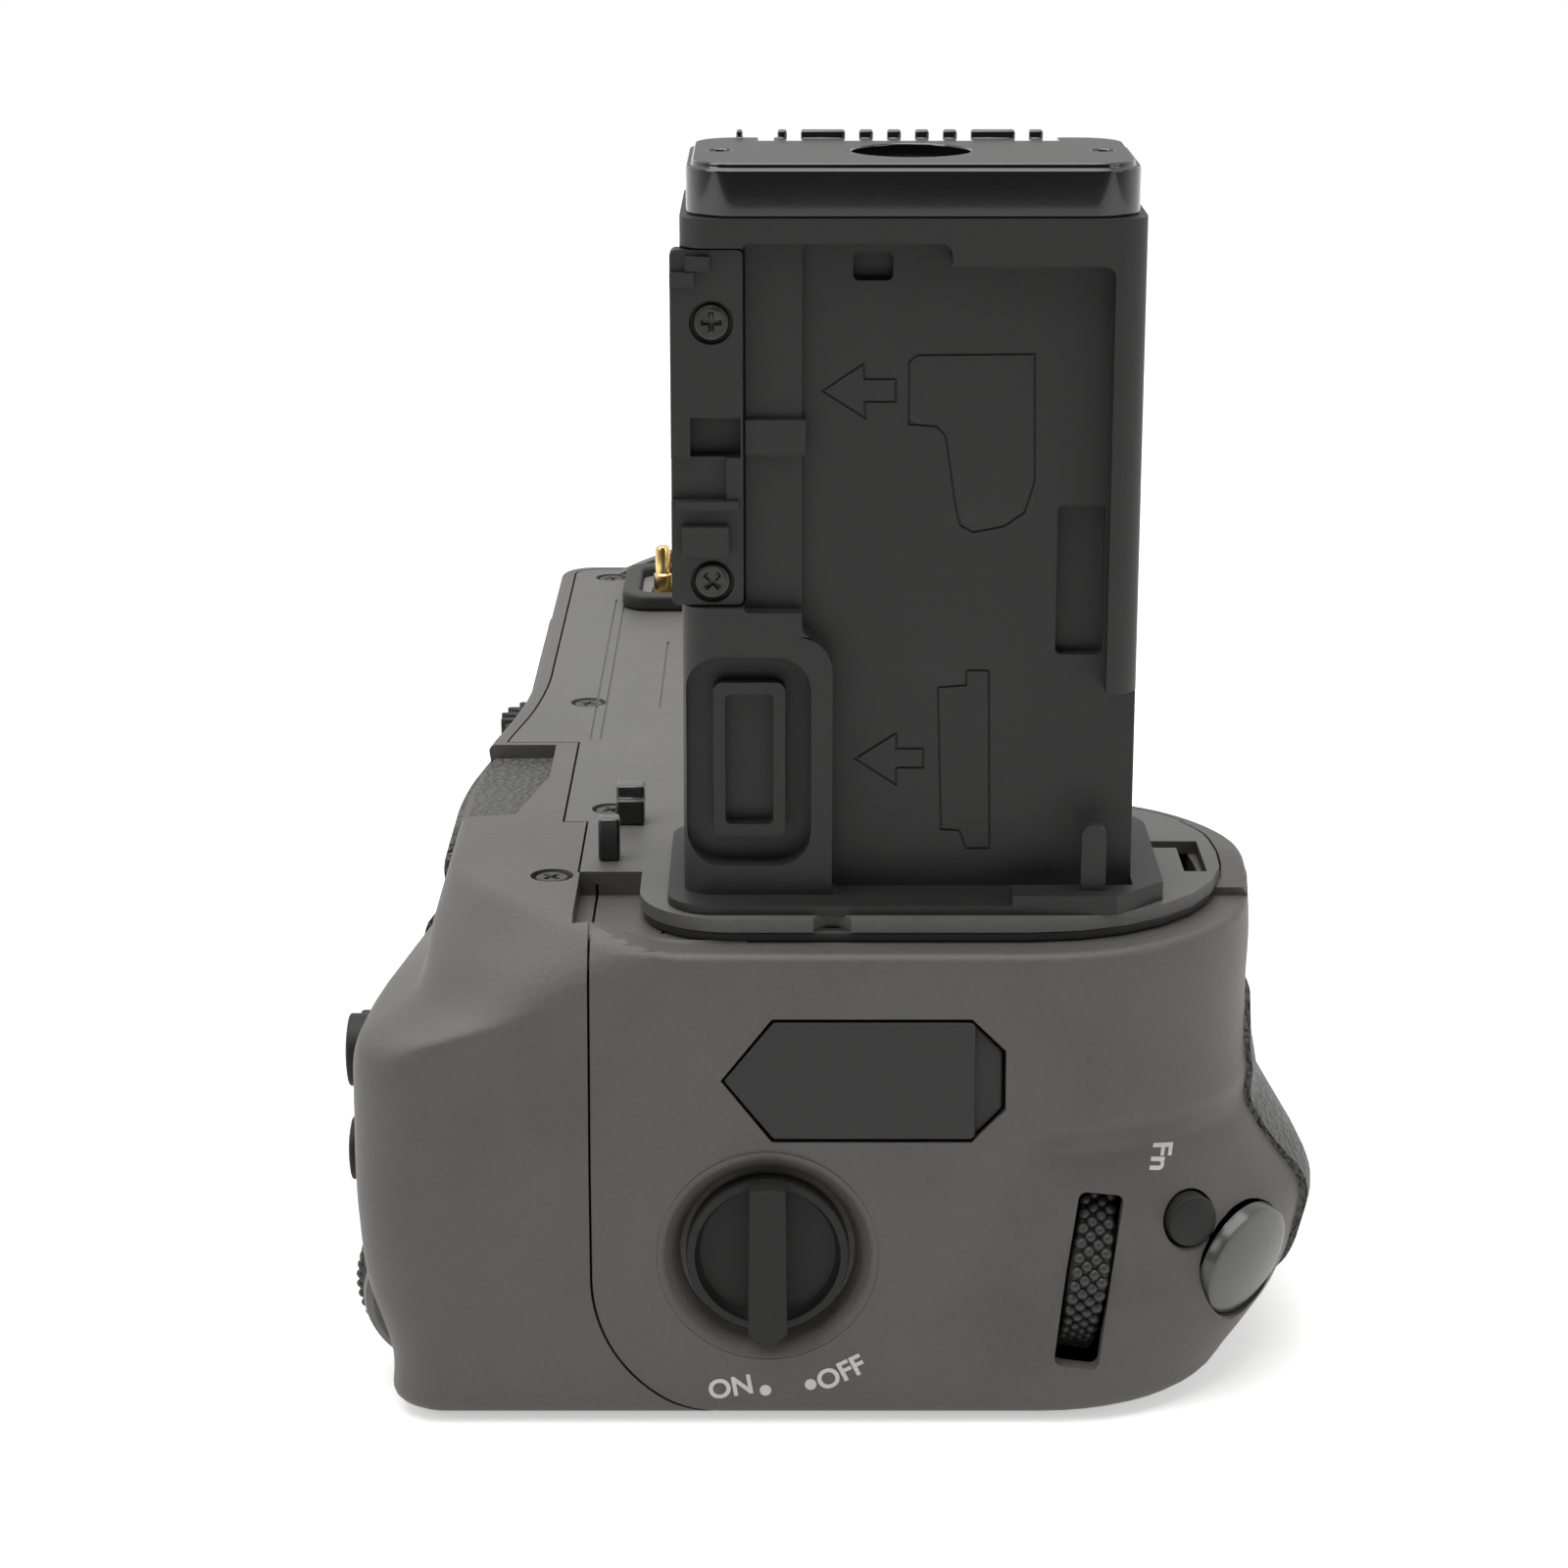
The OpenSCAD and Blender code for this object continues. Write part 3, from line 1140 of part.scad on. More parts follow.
// Thumb stick on a two-axis yoke
stick_y = rear_board_y - rear_board_t - 3.4;
stick_out = 7.7;
stem_r = 1.4;
stick_ball = 1.9;
stick_h = 1.8;
stick_dome = stick_r * 1.6;
yoke_r = [3, 4.6];
yoke_t = 2.2;
yoke_pin = 0.8;
housing_in = 5.4;
housing_out = 6.6;
module on_stick() { translate([stick_at[0], stick_y, stick_at[1]]) children(); }
module stick_cap() {
    color(rubber) on_stick() {
        rotate([90, 0, 0]) cylinder(r = stem_r, h = stick_out + 0.4);
        sphere(stick_ball);
        translate([0, 0, -yoke_r[1] + 0.2]) cylinder(r = yoke_pin, h = 2 * (yoke_r[1] - 0.2));
        rotate([90, 0, 0]) translate([0, 0, stick_out]) rotate_extrude() intersection() {
            square([stick_r, stick_h]);
            translate([0, stick_h - stick_dome]) circle(stick_dome, $fn = 96);
        }
    }
}
module stick_yoke() {
    color(plastic) on_stick() difference() {
        union() {
            rotate([90, 0, 0]) translate([0, 0, -yoke_t / 2]) cylinder(r = yoke_r[1], h = yoke_t);
            translate([-housing_out + 0.2, 0, 0]) along_x(yoke_pin, 2 * (housing_out - 0.2));
        }
        rotate([90, 0, 0]) translate([0, 0, -yoke_t]) cylinder(r = yoke_r[0], h = 2 * yoke_t);
        translate([0, 0, -9]) cylinder(r = yoke_pin + fit, h = 18);
    }
}
module stick_housing() {
    h = 5.2;
    color(plastic) difference() {
        translate([stick_at[0] - housing_out, rear_board_y - rear_board_t - h, stick_at[1] - housing_out])
            cube([2 * housing_out, h, 2 * housing_out]);
        translate([stick_at[0] - housing_in, rear_board_y - rear_board_t - h - 1, stick_at[1] - housing_in])
            cube([2 * housing_in, h + 0.4, 2 * housing_in]);
        on_stick() translate([-housing_out - 1, 0, 0]) along_x(yoke_pin + fit, 2 * housing_out + 2);
    }
}

// Side cover of firm rubber, with a living hinge at its pointed end, seated on a frame behind the end face
seat_gap = 0.02;
pull_l = 2.3;
pull_d = 0.6;
module side_cover() {
    color(rubber) on_flap() difference() {
        translate([-flap_t, 0, 0]) across_x(flap_t) flap_shape();
        translate([-pull_d, flap_l - pull_l, -1]) cube([2, 5, flap_h + 2]);
    }
}
module side_cover_frame() {
    depth = flap_t + seat_gap;
    color(plastic) difference() {
        on_flap() difference() {
            translate([-depth - frame_t, 0, 0]) across_x(depth + frame_t - 0.1) flap_shape(frame_w - 0.05);
            translate([-depth, 0, 0]) across_x(2 * past) flap_shape(control_gap);
        }
        translate([switch_at[0] - past, switch_y, switch_z]) along_x(dish_r + dish_rim + plate_gap, 2 * past);
    }
}

rear_cover();
front_cover();
deck_plate();
rim_seal();
base_plate();
chassis();
tripod_socket();
attachment_screw();
release_dial();
release_axle();
tower_shell();
tower_cap();
tower_contacts();
door_clip();
clip_screws();
connector_frame();
connector_block();
contact_pins();
door_hooks();
thumb_pad();
thumb_inlay();
grip_pad();
deck_screws();
base_screws();
magazine_tray();
magazine_cover();
magazine_latch();
magazine_contacts();
battery_rear();
battery_front();
bay_contacts();
main_board();
power_switch();
switch_dish();
switch_wafer();
main_dial();
main_dial_axle();
main_dial_bracket();
shutter_button();
shutter_switch();
function_button();
function_switch();
quick_dial();
quick_dial_axle();
quick_dial_bracket();
start_button();
lock_button();
point_button();
rear_board();
rear_switches();
stick_cap();
stick_yoke();
stick_housing();
side_cover();
side_cover_frame();
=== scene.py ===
import json
from math import atan, cos, pi, radians, sin, sqrt

import bmesh
import bpy
import numpy as np
from mathutils import Matrix, Vector

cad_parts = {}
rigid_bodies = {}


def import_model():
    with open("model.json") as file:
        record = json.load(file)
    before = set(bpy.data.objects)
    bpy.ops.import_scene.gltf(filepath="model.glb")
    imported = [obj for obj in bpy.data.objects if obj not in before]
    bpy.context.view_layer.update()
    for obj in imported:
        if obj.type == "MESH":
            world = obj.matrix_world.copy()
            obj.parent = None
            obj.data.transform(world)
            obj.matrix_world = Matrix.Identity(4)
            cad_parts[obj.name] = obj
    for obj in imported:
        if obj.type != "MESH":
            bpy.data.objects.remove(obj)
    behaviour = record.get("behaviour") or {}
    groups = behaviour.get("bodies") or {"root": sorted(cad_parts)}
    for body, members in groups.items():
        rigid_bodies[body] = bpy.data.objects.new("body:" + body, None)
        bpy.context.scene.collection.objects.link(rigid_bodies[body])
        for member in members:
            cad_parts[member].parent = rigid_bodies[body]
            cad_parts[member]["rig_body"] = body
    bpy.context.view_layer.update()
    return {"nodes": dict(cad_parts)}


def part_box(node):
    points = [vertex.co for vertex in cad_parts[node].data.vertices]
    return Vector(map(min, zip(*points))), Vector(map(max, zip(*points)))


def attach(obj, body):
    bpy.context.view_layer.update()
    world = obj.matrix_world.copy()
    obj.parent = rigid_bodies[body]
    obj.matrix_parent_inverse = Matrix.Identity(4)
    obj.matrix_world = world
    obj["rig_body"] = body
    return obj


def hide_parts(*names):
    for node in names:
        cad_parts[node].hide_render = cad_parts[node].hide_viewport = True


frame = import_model()
nodes = frame["nodes"]

# Rear and front covers: the two moulded halves of the body, glass-filled plastic with a fine satin
# paint, screwed to the chassis from the base and closed along a parting line on the control end.
# Each is a shell lofted through the body's outline, with its openings cut through the wall.
MM = 0.001
BIG = 200.0
OUTWARD, REARWARD = (1, 0, 0), (0, -1, 0)
WALL = 1.6
SKIRT_Z, SKIRT_R = 0.6, 2.0
NEAR_X, POD_Y, GRIP_Y = 70.4, 33.9, 50.7
BODY_Y = 23.2
FAR_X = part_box("rear_cover")[0].x / MM
DECK_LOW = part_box("deck_plate")[0].z / MM
DECK_Z = DECK_LOW + 1.2
ROOF_TOP = DECK_LOW - 2.4
RIM_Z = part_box("rim_seal")[0].z / MM
EDGE_ROUND = 0.7
END_PROFILE = [(0, 0), (0.18, 0), (0.54, -0.2), (0.7, -1.1), (0.91, -2.4), (1, -3.2)]
POD_PROFILE = [(0, -2.6), (0.12, -2.9), (0.27, -0.9), (0.4, -0.2), (0.5, 0), (0.66, 0), (0.735, -0.2),
               (0.77, -1.2), (0.795, -3.4), (0.825, -5.3), (0.9, -6), (1, -7.3)]
GRIP_PROFILE = [(0, -7.6), (0.06, -6.2), (0.12, -3.9), (0.2, -0.9), (0.28, 0.6), (0.385, 1.1), (0.5, -1.9),
                (0.62, -4.3), (0.75, -4.8), (0.88, -4.6), (1, -4.8)]
POD_ROUNDING = [(0, 4), (0.57, 6), (0.76, 6), (0.86, 13), (1, 24)]
POD_START = [(0, 43), (0.5, 43), (0.6, 46), (0.69, 55), (0.78, 55), (0.85, 36), (1, 12)]
GRIP_START = [(0, 14), (0.45, 14), (0.72, 24), (1, 35)]
GRIP_ROUNDING = [(0, 17), (0.55, 21), (1, 22)]
GRIP_SLOPE = [(0, 6.4), (0.55, 4.4), (1, 2.4)]
FAR_ROUNDING, END_RUN, WAIST_X, WAIST_RUN = 4, 8, -8, 11
REAR_BENDS, GRIP_BENDS = (9, 6), (9, 7)
SCOOP_D, SCOOP_START, SCOOP_LEAN, SCOOP_RUN, SCOOP_TOP = 1.8, 14, 0.32, 6.5, 28
SCOOP_SHARE, SCOOP_SLANT = 1.1, 0.4
SCOOP_FOOT, SCOOP_LOW, SCOOP_RISE, SCOOP_FALL, SCOOP_PAST = 4, 1, 14, 4, 3
SCOOP_REACH, SCOOP_FADE = 26, 12
CIRCLE_HANDLE = 0.5523


def smooth_step(t):
    t = np.clip(t, 0, 1)
    return t * t * (3 - 2 * t)


def profile_at(table, z):
    """Cubic through a table of (share of the deck's height, value) pairs."""
    share, value = np.array(table, float).T
    last = len(share) - 1
    h = np.clip(z / DECK_Z, 0, 1)
    i = min(max(int(np.searchsorted(share, h, side="right")) - 1, 0), last - 1)
    slope = [(value[min(k + 1, last)] - value[max(k - 1, 0)])
             / (share[min(k + 1, last)] - share[max(k - 1, 0)]) for k in (i, i + 1)]
    d = share[i + 1] - share[i]
    s = (h - share[i]) / d
    return ((2 * s**3 - 3 * s**2 + 1) * value[i] + (s**3 - 2 * s**2 + s) * slope[0] * d
            + (3 * s**2 - 2 * s**3) * value[i + 1] + (s**3 - s**2) * slope[1] * d)


def end_face(z):
    return NEAR_X + profile_at(END_PROFILE, z)


def pod_face(z):
    return -POD_Y - profile_at(POD_PROFILE, z)


def grip_face(z):
    return GRIP_Y + profile_at(GRIP_PROFILE, z)


def skirt(z):
    if z >= SKIRT_Z + SKIRT_R:
        return 0.0
    return SKIRT_R - sqrt(max(SKIRT_R**2 - (SKIRT_Z + SKIRT_R - max(z, SKIRT_Z))**2, 0))


def scoop(x, y, z):
    """Depth of the hollow that leads the finger to the shutter button."""
    return (SCOOP_D * smooth_step((y - SCOOP_START - SCOOP_LEAN * (z - SCOOP_FOOT)) / SCOOP_RUN)
            * smooth_step((SCOOP_TOP - z) / SCOOP_FALL) * smooth_step((z - SCOOP_LOW) / SCOOP_RISE)
            * smooth_step((GRIP_Y + SCOOP_PAST - y) / SCOOP_RUN)
            * smooth_step((x - NEAR_X + SCOOP_REACH) / SCOOP_FADE))


def body_corners(z, inset):
    k = inset + skirt(z)
    e, g, bend = end_face(z) - k, profile_at(GRIP_START, z), profile_at(GRIP_ROUNDING, z)
    far = max(FAR_ROUNDING - inset, 0.3)
    return [(FAR_X + k, -BODY_Y + k, far), (WAIST_X, -BODY_Y + k, REAR_BENDS[0]),
            (profile_at(POD_START, z), pod_face(z) + k, REAR_BENDS[1]),
            (e, pod_face(z) + k, profile_at(POD_ROUNDING, z) - inset),
            (e, grip_face(z) - skirt(z) - bend - END_RUN - 0.5, END_RUN),
            (e, grip_face(z) - k, bend - inset),
            (g, grip_face(z) - profile_at(GRIP_SLOPE, z) - k, GRIP_BENDS[0] - inset),
            (g - WAIST_RUN, BODY_Y - k, GRIP_BENDS[1] + inset), (FAR_X + k, BODY_Y - k, far)]


def body_ring(z, inset=0.0, bend_steps=14, run_steps=(14, 14, 6, 44, 2, 10, 6, 14, 10)):
    """Points round the body at one height: a cubic bend at each corner and even steps between."""
    corner = np.array(body_corners(z, inset))
    plan, setback = corner[:, :2], corner[:, 2:]
    to_last = np.roll(plan, 1, axis=0) - plan
    to_next = np.roll(plan, -1, axis=0) - plan
    u = to_last / np.linalg.norm(to_last, axis=1)[:, None] * setback
    v = to_next / np.linalg.norm(to_next, axis=1)[:, None] * setback
    t = np.linspace(0, 1, bend_steps + 1)[:, None]
    handle = 1 - CIRCLE_HANDLE
    points = []
    for i, p in enumerate(plan):
        points.append(p + u[i] * ((1 - t)**3 + 3 * (1 - t)**2 * t * handle)
                      + v[i] * (t**3 + 3 * t**2 * (1 - t) * handle))
        after = (i + 1) % len(plan)
        run = np.linspace(0, 1, run_steps[i] + 2)[1:-1, None]
        points.append((p + v[i]) * (1 - run) + (plan[after] + u[after]) * run)
    ring = np.vstack(points)
    hollow = SCOOP_SHARE * scoop(ring[:, 0], ring[:, 1], z)
    return ring - np.stack([hollow, SCOOP_SLANT * hollow], axis=1)


def linked(name, data):
    """New object in the scene."""
    piece = bpy.data.objects.new(name, data)
    bpy.context.scene.collection.objects.link(piece)
    return piece


def arc(centre, r, start, end, steps):
    """Points of an arc, from one angle to another."""
    return [(centre[0] + r * cos(a), centre[1] + r * sin(a))
            for a in np.linspace(start, end, steps)]


def at_height(outline, z):
    """Points of a flat outline with a third coordinate added."""
    return np.hstack([np.asarray(outline, float), np.full((len(outline), 1), z)])


def link_mesh(name, vertices, faces):
    """New object from vertices in millimetres."""
    mesh = bpy.data.meshes.new(name)
    mesh.from_pydata((np.asarray(vertices, float) * MM).tolist(), [], faces)
    return linked(name, mesh)


def loft(name, rings):
    """Closed solid through rings of points (x, y, z), from the lowest to the highest."""
    count = len(rings[0])
    faces = [list(range(count))[::-1], [(len(rings) - 1) * count + j for j in range(count)]]
    for i in range(len(rings) - 1):
        for j in range(count):
            a, b = i * count + j, i * count + (j + 1) % count
            faces.append([a, b, b + count, a + count])
    return link_mesh(name, np.vstack(rings), faces)


def prism(name, outline, low, high, axis="z"):
    """Closed solid of a plan outline, standing along z, or of a (y, z) outline lying along x."""
    rings = [at_height(outline, level) for level in (low, high)]
    return loft(name, rings if axis == "z" else [np.roll(ring, 1, axis=1) for ring in rings])


def block(name, low, high):
    return prism(name, [(low[0], low[1]), (high[0], low[1]), (high[0], high[1]), (low[0], high[1])],
                 low[2], high[2])


def lathe(name, profile, at=(0, 0, 0), heading=(0, 0, 1), steps=64):
    """Closed solid of revolution: (height, radius) pairs along a heading from a point."""
    axis = Vector(heading).normalized()
    across = axis.orthogonal().normalized()
    other = axis.cross(across)
    turn = np.linspace(0, 2 * pi, steps, endpoint=False)
    rings = [np.array([Vector(at) + axis * h + (across * cos(a) + other * sin(a)) * r
                       for a in turn]) for h, r in profile]
    return loft(name, rings)


def round_outline(low, high, r, steps=8):
    """Rectangle with rounded corners."""
    corners = [(high[0] - r, high[1] - r), (low[0] + r, high[1] - r), (low[0] + r, low[1] + r),
               (high[0] - r, low[1] + r)]
    return [point for k, corner in enumerate(corners)
            for point in arc(corner, r, k * pi / 2, (k + 1) * pi / 2, steps + 1)]


def discard(pieces):
    for piece in pieces:
        mesh = piece.data
        bpy.data.objects.remove(piece)
        bpy.data.meshes.remove(mesh)


def shaped(piece, cutters=(), kept=(), added=()):
    """Cuts, keeps and adds solids on a piece, in one go, and throws the tools away."""
    for tools, operation in ((added, "UNION"), (kept, "INTERSECT"), (cutters, "DIFFERENCE")):
        for tool in tools:
            step = piece.modifiers.new(tool.name, "BOOLEAN")
            step.operation, step.solver, step.object = operation, "MANIFOLD", tool
    freeze(piece)
    discard([*added, *kept, *cutters])
    return piece


def freeze(piece):
    """Turns a piece's modifiers into its plain mesh."""
    seen = piece.evaluated_get(bpy.context.evaluated_depsgraph_get())
    mesh = bpy.data.meshes.new_from_object(seen)
    old = piece.data
    piece.modifiers.clear()
    piece.data = mesh
    if old.users == 0:
        bpy.data.meshes.remove(old)
    return piece


def shade(piece, angle=35):
    """Smooth faces that stay flat where they are flat, and crisp edges above the angle."""
    piece.data.shade_smooth()
    piece.data.set_sharp_from_angle(angle=radians(angle))
    weigh = piece.modifiers.new("weigh", "WEIGHTED_NORMAL")
    weigh.keep_sharp = True
    return freeze(piece)


STEP_X, STEP_Y, BLOCK_X, BLOCK_Y, WELL_X, WELL_Y = 8.8, -17.1, 36, -14.9, 51.3, -9.4
DECK_INSET, COLLAR_INSET, COLLAR_BEND = 1.8, 2.5, 8


def deck_tool(name, grow, low, high):
    """Solid over the deck plate's outline, grown sideways."""
    tool = prism(name, body_ring(DECK_Z, DECK_INSET - grow), low, high)
    wide = block(name + "_wide", (-BIG, -BIG, low - 1), (BLOCK_X, BIG, high + 1))
    collar = prism(name + "_collar", body_ring(DECK_Z, COLLAR_INSET - grow), low - 1, high + 1)
    steps = [block(name + "_step", (x + grow, -BIG, low - 2), (BIG, y - grow, high + 2))
             for x, y in ((STEP_X, STEP_Y), (BLOCK_X, BLOCK_Y), (WELL_X, WELL_Y))]
    corner = (end_face(DECK_Z) - COLLAR_INSET - COLLAR_BEND, WELL_Y + COLLAR_BEND)
    bend = arc(corner, COLLAR_BEND + grow, 0, -pi / 2, 25)
    outside = bend + [(corner[0], -BIG), (BIG, -BIG), (BIG, corner[1])]
    steps.append(prism(name + "_bend", outside[::-1], low - 3, high + 3))
    return shaped(tool, kept=[shaped(wide, added=[collar])], cutters=steps)


LIP_X, LIP_Y, LIP_RUN, LIP_STEP, SIDE_X, SIDE_RUN = 64.2, -16.5, 11, 0.4, 44, 12


def lip_top(x, y):
    """Height of the covers' upper edge: it falls from the deck to the sunk rim in a soft curve."""
    rear = 1 - smooth_step((y - LIP_Y) / LIP_RUN) * smooth_step((x - LIP_X + LIP_STEP) / LIP_STEP)
    side = np.where(y > 0, 1 - smooth_step((x - SIDE_X) / SIDE_RUN), 0)
    return RIM_Z + (DECK_Z - RIM_Z) * np.clip(np.where(y > 0, side, rear), 0, 1)


def rounded_ring(z):
    """Outline at one height, drawn in where the upper edge is rounded."""
    plain, drawn_in = body_ring(z), body_ring(z, EDGE_ROUND)
    rise = np.clip((z - lip_top(*plain.T) + EDGE_ROUND) / EDGE_ROUND, 0, 1)
    ring = plain + (drawn_in - plain) * (1 - np.sqrt(1 - rise**2))[:, None]
    return at_height(ring, z)


def lip_tool(name):
    """Solid over the covers' upper edge, from side to side."""
    across = np.concatenate([[SIDE_X - 4], np.linspace(SIDE_X, LIP_X - 1, 24),
                             np.linspace(LIP_X - 0.5, NEAR_X + 3, 24)])
    rings = []
    for y in np.concatenate([np.linspace(LIP_Y - 1, -0.01, 40), np.linspace(0.01, GRIP_Y + 6, 4)]):
        row = [(x, y, lip_top(x, y) + (0.01 if y < LIP_Y else 0)) for x in across]
        rings.append(np.array(row + [(across[-1], y, BIG), (across[0], y, BIG)])[::-1])
    return loft(name, rings)


outer_levels = np.concatenate([
    SKIRT_Z + SKIRT_R * (1 - np.cos(np.linspace(0, pi / 2, 7))),
    np.linspace(SKIRT_Z + SKIRT_R, RIM_Z - EDGE_ROUND, 84)[1:],
    RIM_Z - EDGE_ROUND * (1 - np.sin(np.linspace(0, pi / 2, 7)))[1:],
    np.linspace(RIM_Z, DECK_Z - EDGE_ROUND, 9)[1:-1],
    DECK_Z - EDGE_ROUND * (1 - np.sin(np.linspace(0, pi / 2, 7)))])
inner_levels = np.concatenate([[-1, 0], np.linspace(SKIRT_Z + SKIRT_R, ROOF_TOP, 14)])
body = loft("body", [rounded_ring(z) for z in outer_levels])
hollow = loft("hollow", [at_height(body_ring(z, WALL), z) for z in inner_levels])
bay_low, bay_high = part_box("magazine_cover")
shaped(body, cutters=[
    hollow,
    deck_tool("ledge", -2.0, ROOF_TOP - 0.01, DECK_LOW + 0.1),
    deck_tool("pocket", 0.2, DECK_LOW, DECK_Z + 5),
    block("rim", (WELL_X, BLOCK_Y, RIM_Z), (LIP_X, BIG, BIG)),
    lip_tool("lip"),
    prism("mouth", round_outline((bay_low.y / MM - 0.2, bay_low.z / MM - 0.2),
                                 (bay_high.y / MM + 0.2, bay_high.z / MM + 0.2), 2.6),
          FAR_X - 1, FAR_X + 5, axis="x")])


SEAM_Y, SEAM_R, SEAM_GAP = -13.4, 13.0, 0.22


def seam_tool(name, shift):
    """Region behind the parting line: upright, then bending forward along the lower edge."""
    centre = (SEAM_Y + SEAM_R, SKIRT_Z + SEAM_R)
    bend = arc(centre, SEAM_R - shift, 1.5 * pi, pi, 24)
    outline = [(-BIG, -BIG), (centre[0], -BIG)] + bend + [(SEAM_Y + shift, BIG), (-BIG, BIG)]
    return prism(name, outline, -BIG, BIG, axis="x")


front_cover = linked("front_cover_shell", body.data.copy())
rear_cover = body
rear_cover.name = "rear_cover_shell"

SWITCH_Y, SWITCH_Z, DISH_R, DISH_D = 1.7, 15.7, 9.1, 2.0
SWITCH_X = end_face(SWITCH_Z)
SWITCH_AT = (SWITCH_X, SWITCH_Y, SWITCH_Z)
MAIN_Y, MAIN_Z, MAIN_R, MAIN_W, MAIN_LEAN, MAIN_SLOT = 29.3, 12.9, 9.5, 3.4, 7.6, 15.6
MAIN_OUT = 0.8
MAIN_X = end_face(MAIN_Z) - scoop(NEAR_X, MAIN_Y, MAIN_Z) + MAIN_OUT - MAIN_R
MAIN_AT, MAIN_TURN = (MAIN_X, MAIN_Y, MAIN_Z), Matrix.Rotation(-radians(MAIN_LEAN), 4, "X")
GAP = 0.25


def corner_at(z, degrees):
    """Point on the rounded corner between the control end and the hand grip."""
    a, bend = radians(degrees), profile_at(GRIP_ROUNDING, z)
    x = end_face(z) - bend * (1 - cos(a))
    y = grip_face(z) - bend * (1 - sin(a))
    depth = scoop(x, y, z)
    return Vector((x - depth, y - SCOOP_SLANT * depth, z))


def heading(azimuth, elevation):
    a, e = radians(azimuth), radians(elevation)
    return Vector((cos(e) * cos(a), cos(e) * sin(a), sin(e)))


SHUTTER_AT, SHUTTER_TO, SHUTTER_R = corner_at(12.4, 40.5), heading(46, -13), 5.2
FUNCTION_AT, FUNCTION_TO, FUNCTION_R = corner_at(17.7, 21.8), heading(22, 0), 2.3
FLAP_Y, FLAP_Z, FLAP_L, FLAP_H, FLAP_POINT, FLAP_CUT = -2, 26.3, 23.6, 10.1, 4.2, 2.6
FLAP_X = end_face(FLAP_Z)
FLAP_LEAN = atan((FLAP_X - end_face(FLAP_Z + FLAP_H)) / FLAP_H)
FLAP_AT, FLAP_TURN = (FLAP_X, FLAP_Y, FLAP_Z), Matrix.Rotation(-FLAP_LEAN, 4, "Y")


def flap_outline(grow):
    c, g = FLAP_CUT, grow
    return [(-g, FLAP_H / 2), (FLAP_POINT - g / 2, -g), (FLAP_L - c, -g), (FLAP_L + g, c - g / 2),
            (FLAP_L + g, FLAP_H - c + g / 2), (FLAP_L - c, FLAP_H + g), (FLAP_POINT - g / 2, FLAP_H + g)]


def placed(piece, turn, at):
    """Moves a tool's mesh from its own frame to its place on the body, in millimetres."""
    piece.data.transform(Matrix.Translation(Vector(at) * MM) @ turn)
    return piece


def flared(name, r, at, to, depth, lip=0.35):
    """Round hole with a rolled edge where it meets the surface."""
    edge = [(h - lip, r + lip * (1 - sqrt(1 - (h / lip)**2))) for h in np.linspace(0, lip * 0.98, 6)]
    return lathe(name, [(-depth, r), (-lip, r)] + edge + [(6, r + 2 * lip)], at, to)


shaped(front_cover, cutters=[
    seam_tool("seam_front", SEAM_GAP / 2),
    lathe("dish_hole", [(-8, DISH_R + 0.4), (3, DISH_R + 0.4)], SWITCH_AT, OUTWARD, steps=96),
    placed(prism("flap_hole", flap_outline(0.28), -5, 6, axis="x"), FLAP_TURN, FLAP_AT),
    placed(prism("main_slot", round_outline((-MAIN_W / 2 - GAP, -MAIN_SLOT / 2),
                                            (MAIN_W / 2 + GAP, MAIN_SLOT / 2), 0.7),
                 MAIN_R - 6, MAIN_R + 6, axis="x"), MAIN_TURN, MAIN_AT),
    flared("shutter_hole", SHUTTER_R + GAP / 2, SHUTTER_AT, SHUTTER_TO, 6, 0.15),
    flared("function_hole", FUNCTION_R + GAP, FUNCTION_AT, FUNCTION_TO, 5)])

QUICK_X, QUICK_Y, QUICK_Z, QUICK_R, QUICK_W = 59.5, -27.2, 9.8, 7.4, 5.0
REAR_BUTTONS = {"start_button": (58, 30, 3.2), "lock_button": (58.5, 21, 2.8),
                "point_button": (49, 27.5, 2.8)}
STICK_X, STICK_Z, STICK_HOLE = 38.4, 21, 4.2
DIAL_X, DIAL_Y, DIAL_R = -6.4, -17.038, 9.1
WINDOW_LOW, WINDOW_HIGH, WINDOW_Y, WINDOW_Z = 9.9, 34.5, -19.4, DECK_LOW - 0.8
WINDOW_BEND, WINDOW_END = 21, -26
BLOCK_SCREW = (52.4, -17.3)
HEAD_R, HEAD_H, HEAD_SUNK = 1.8, 0.6, 0.1
FAIRING_X, FAIRING_R, FAIRING_L = QUICK_X + QUICK_W / 2 + GAP, QUICK_R - 1, 4
shaped(rear_cover, kept=[seam_tool("seam_rear", -SEAM_GAP / 2)])
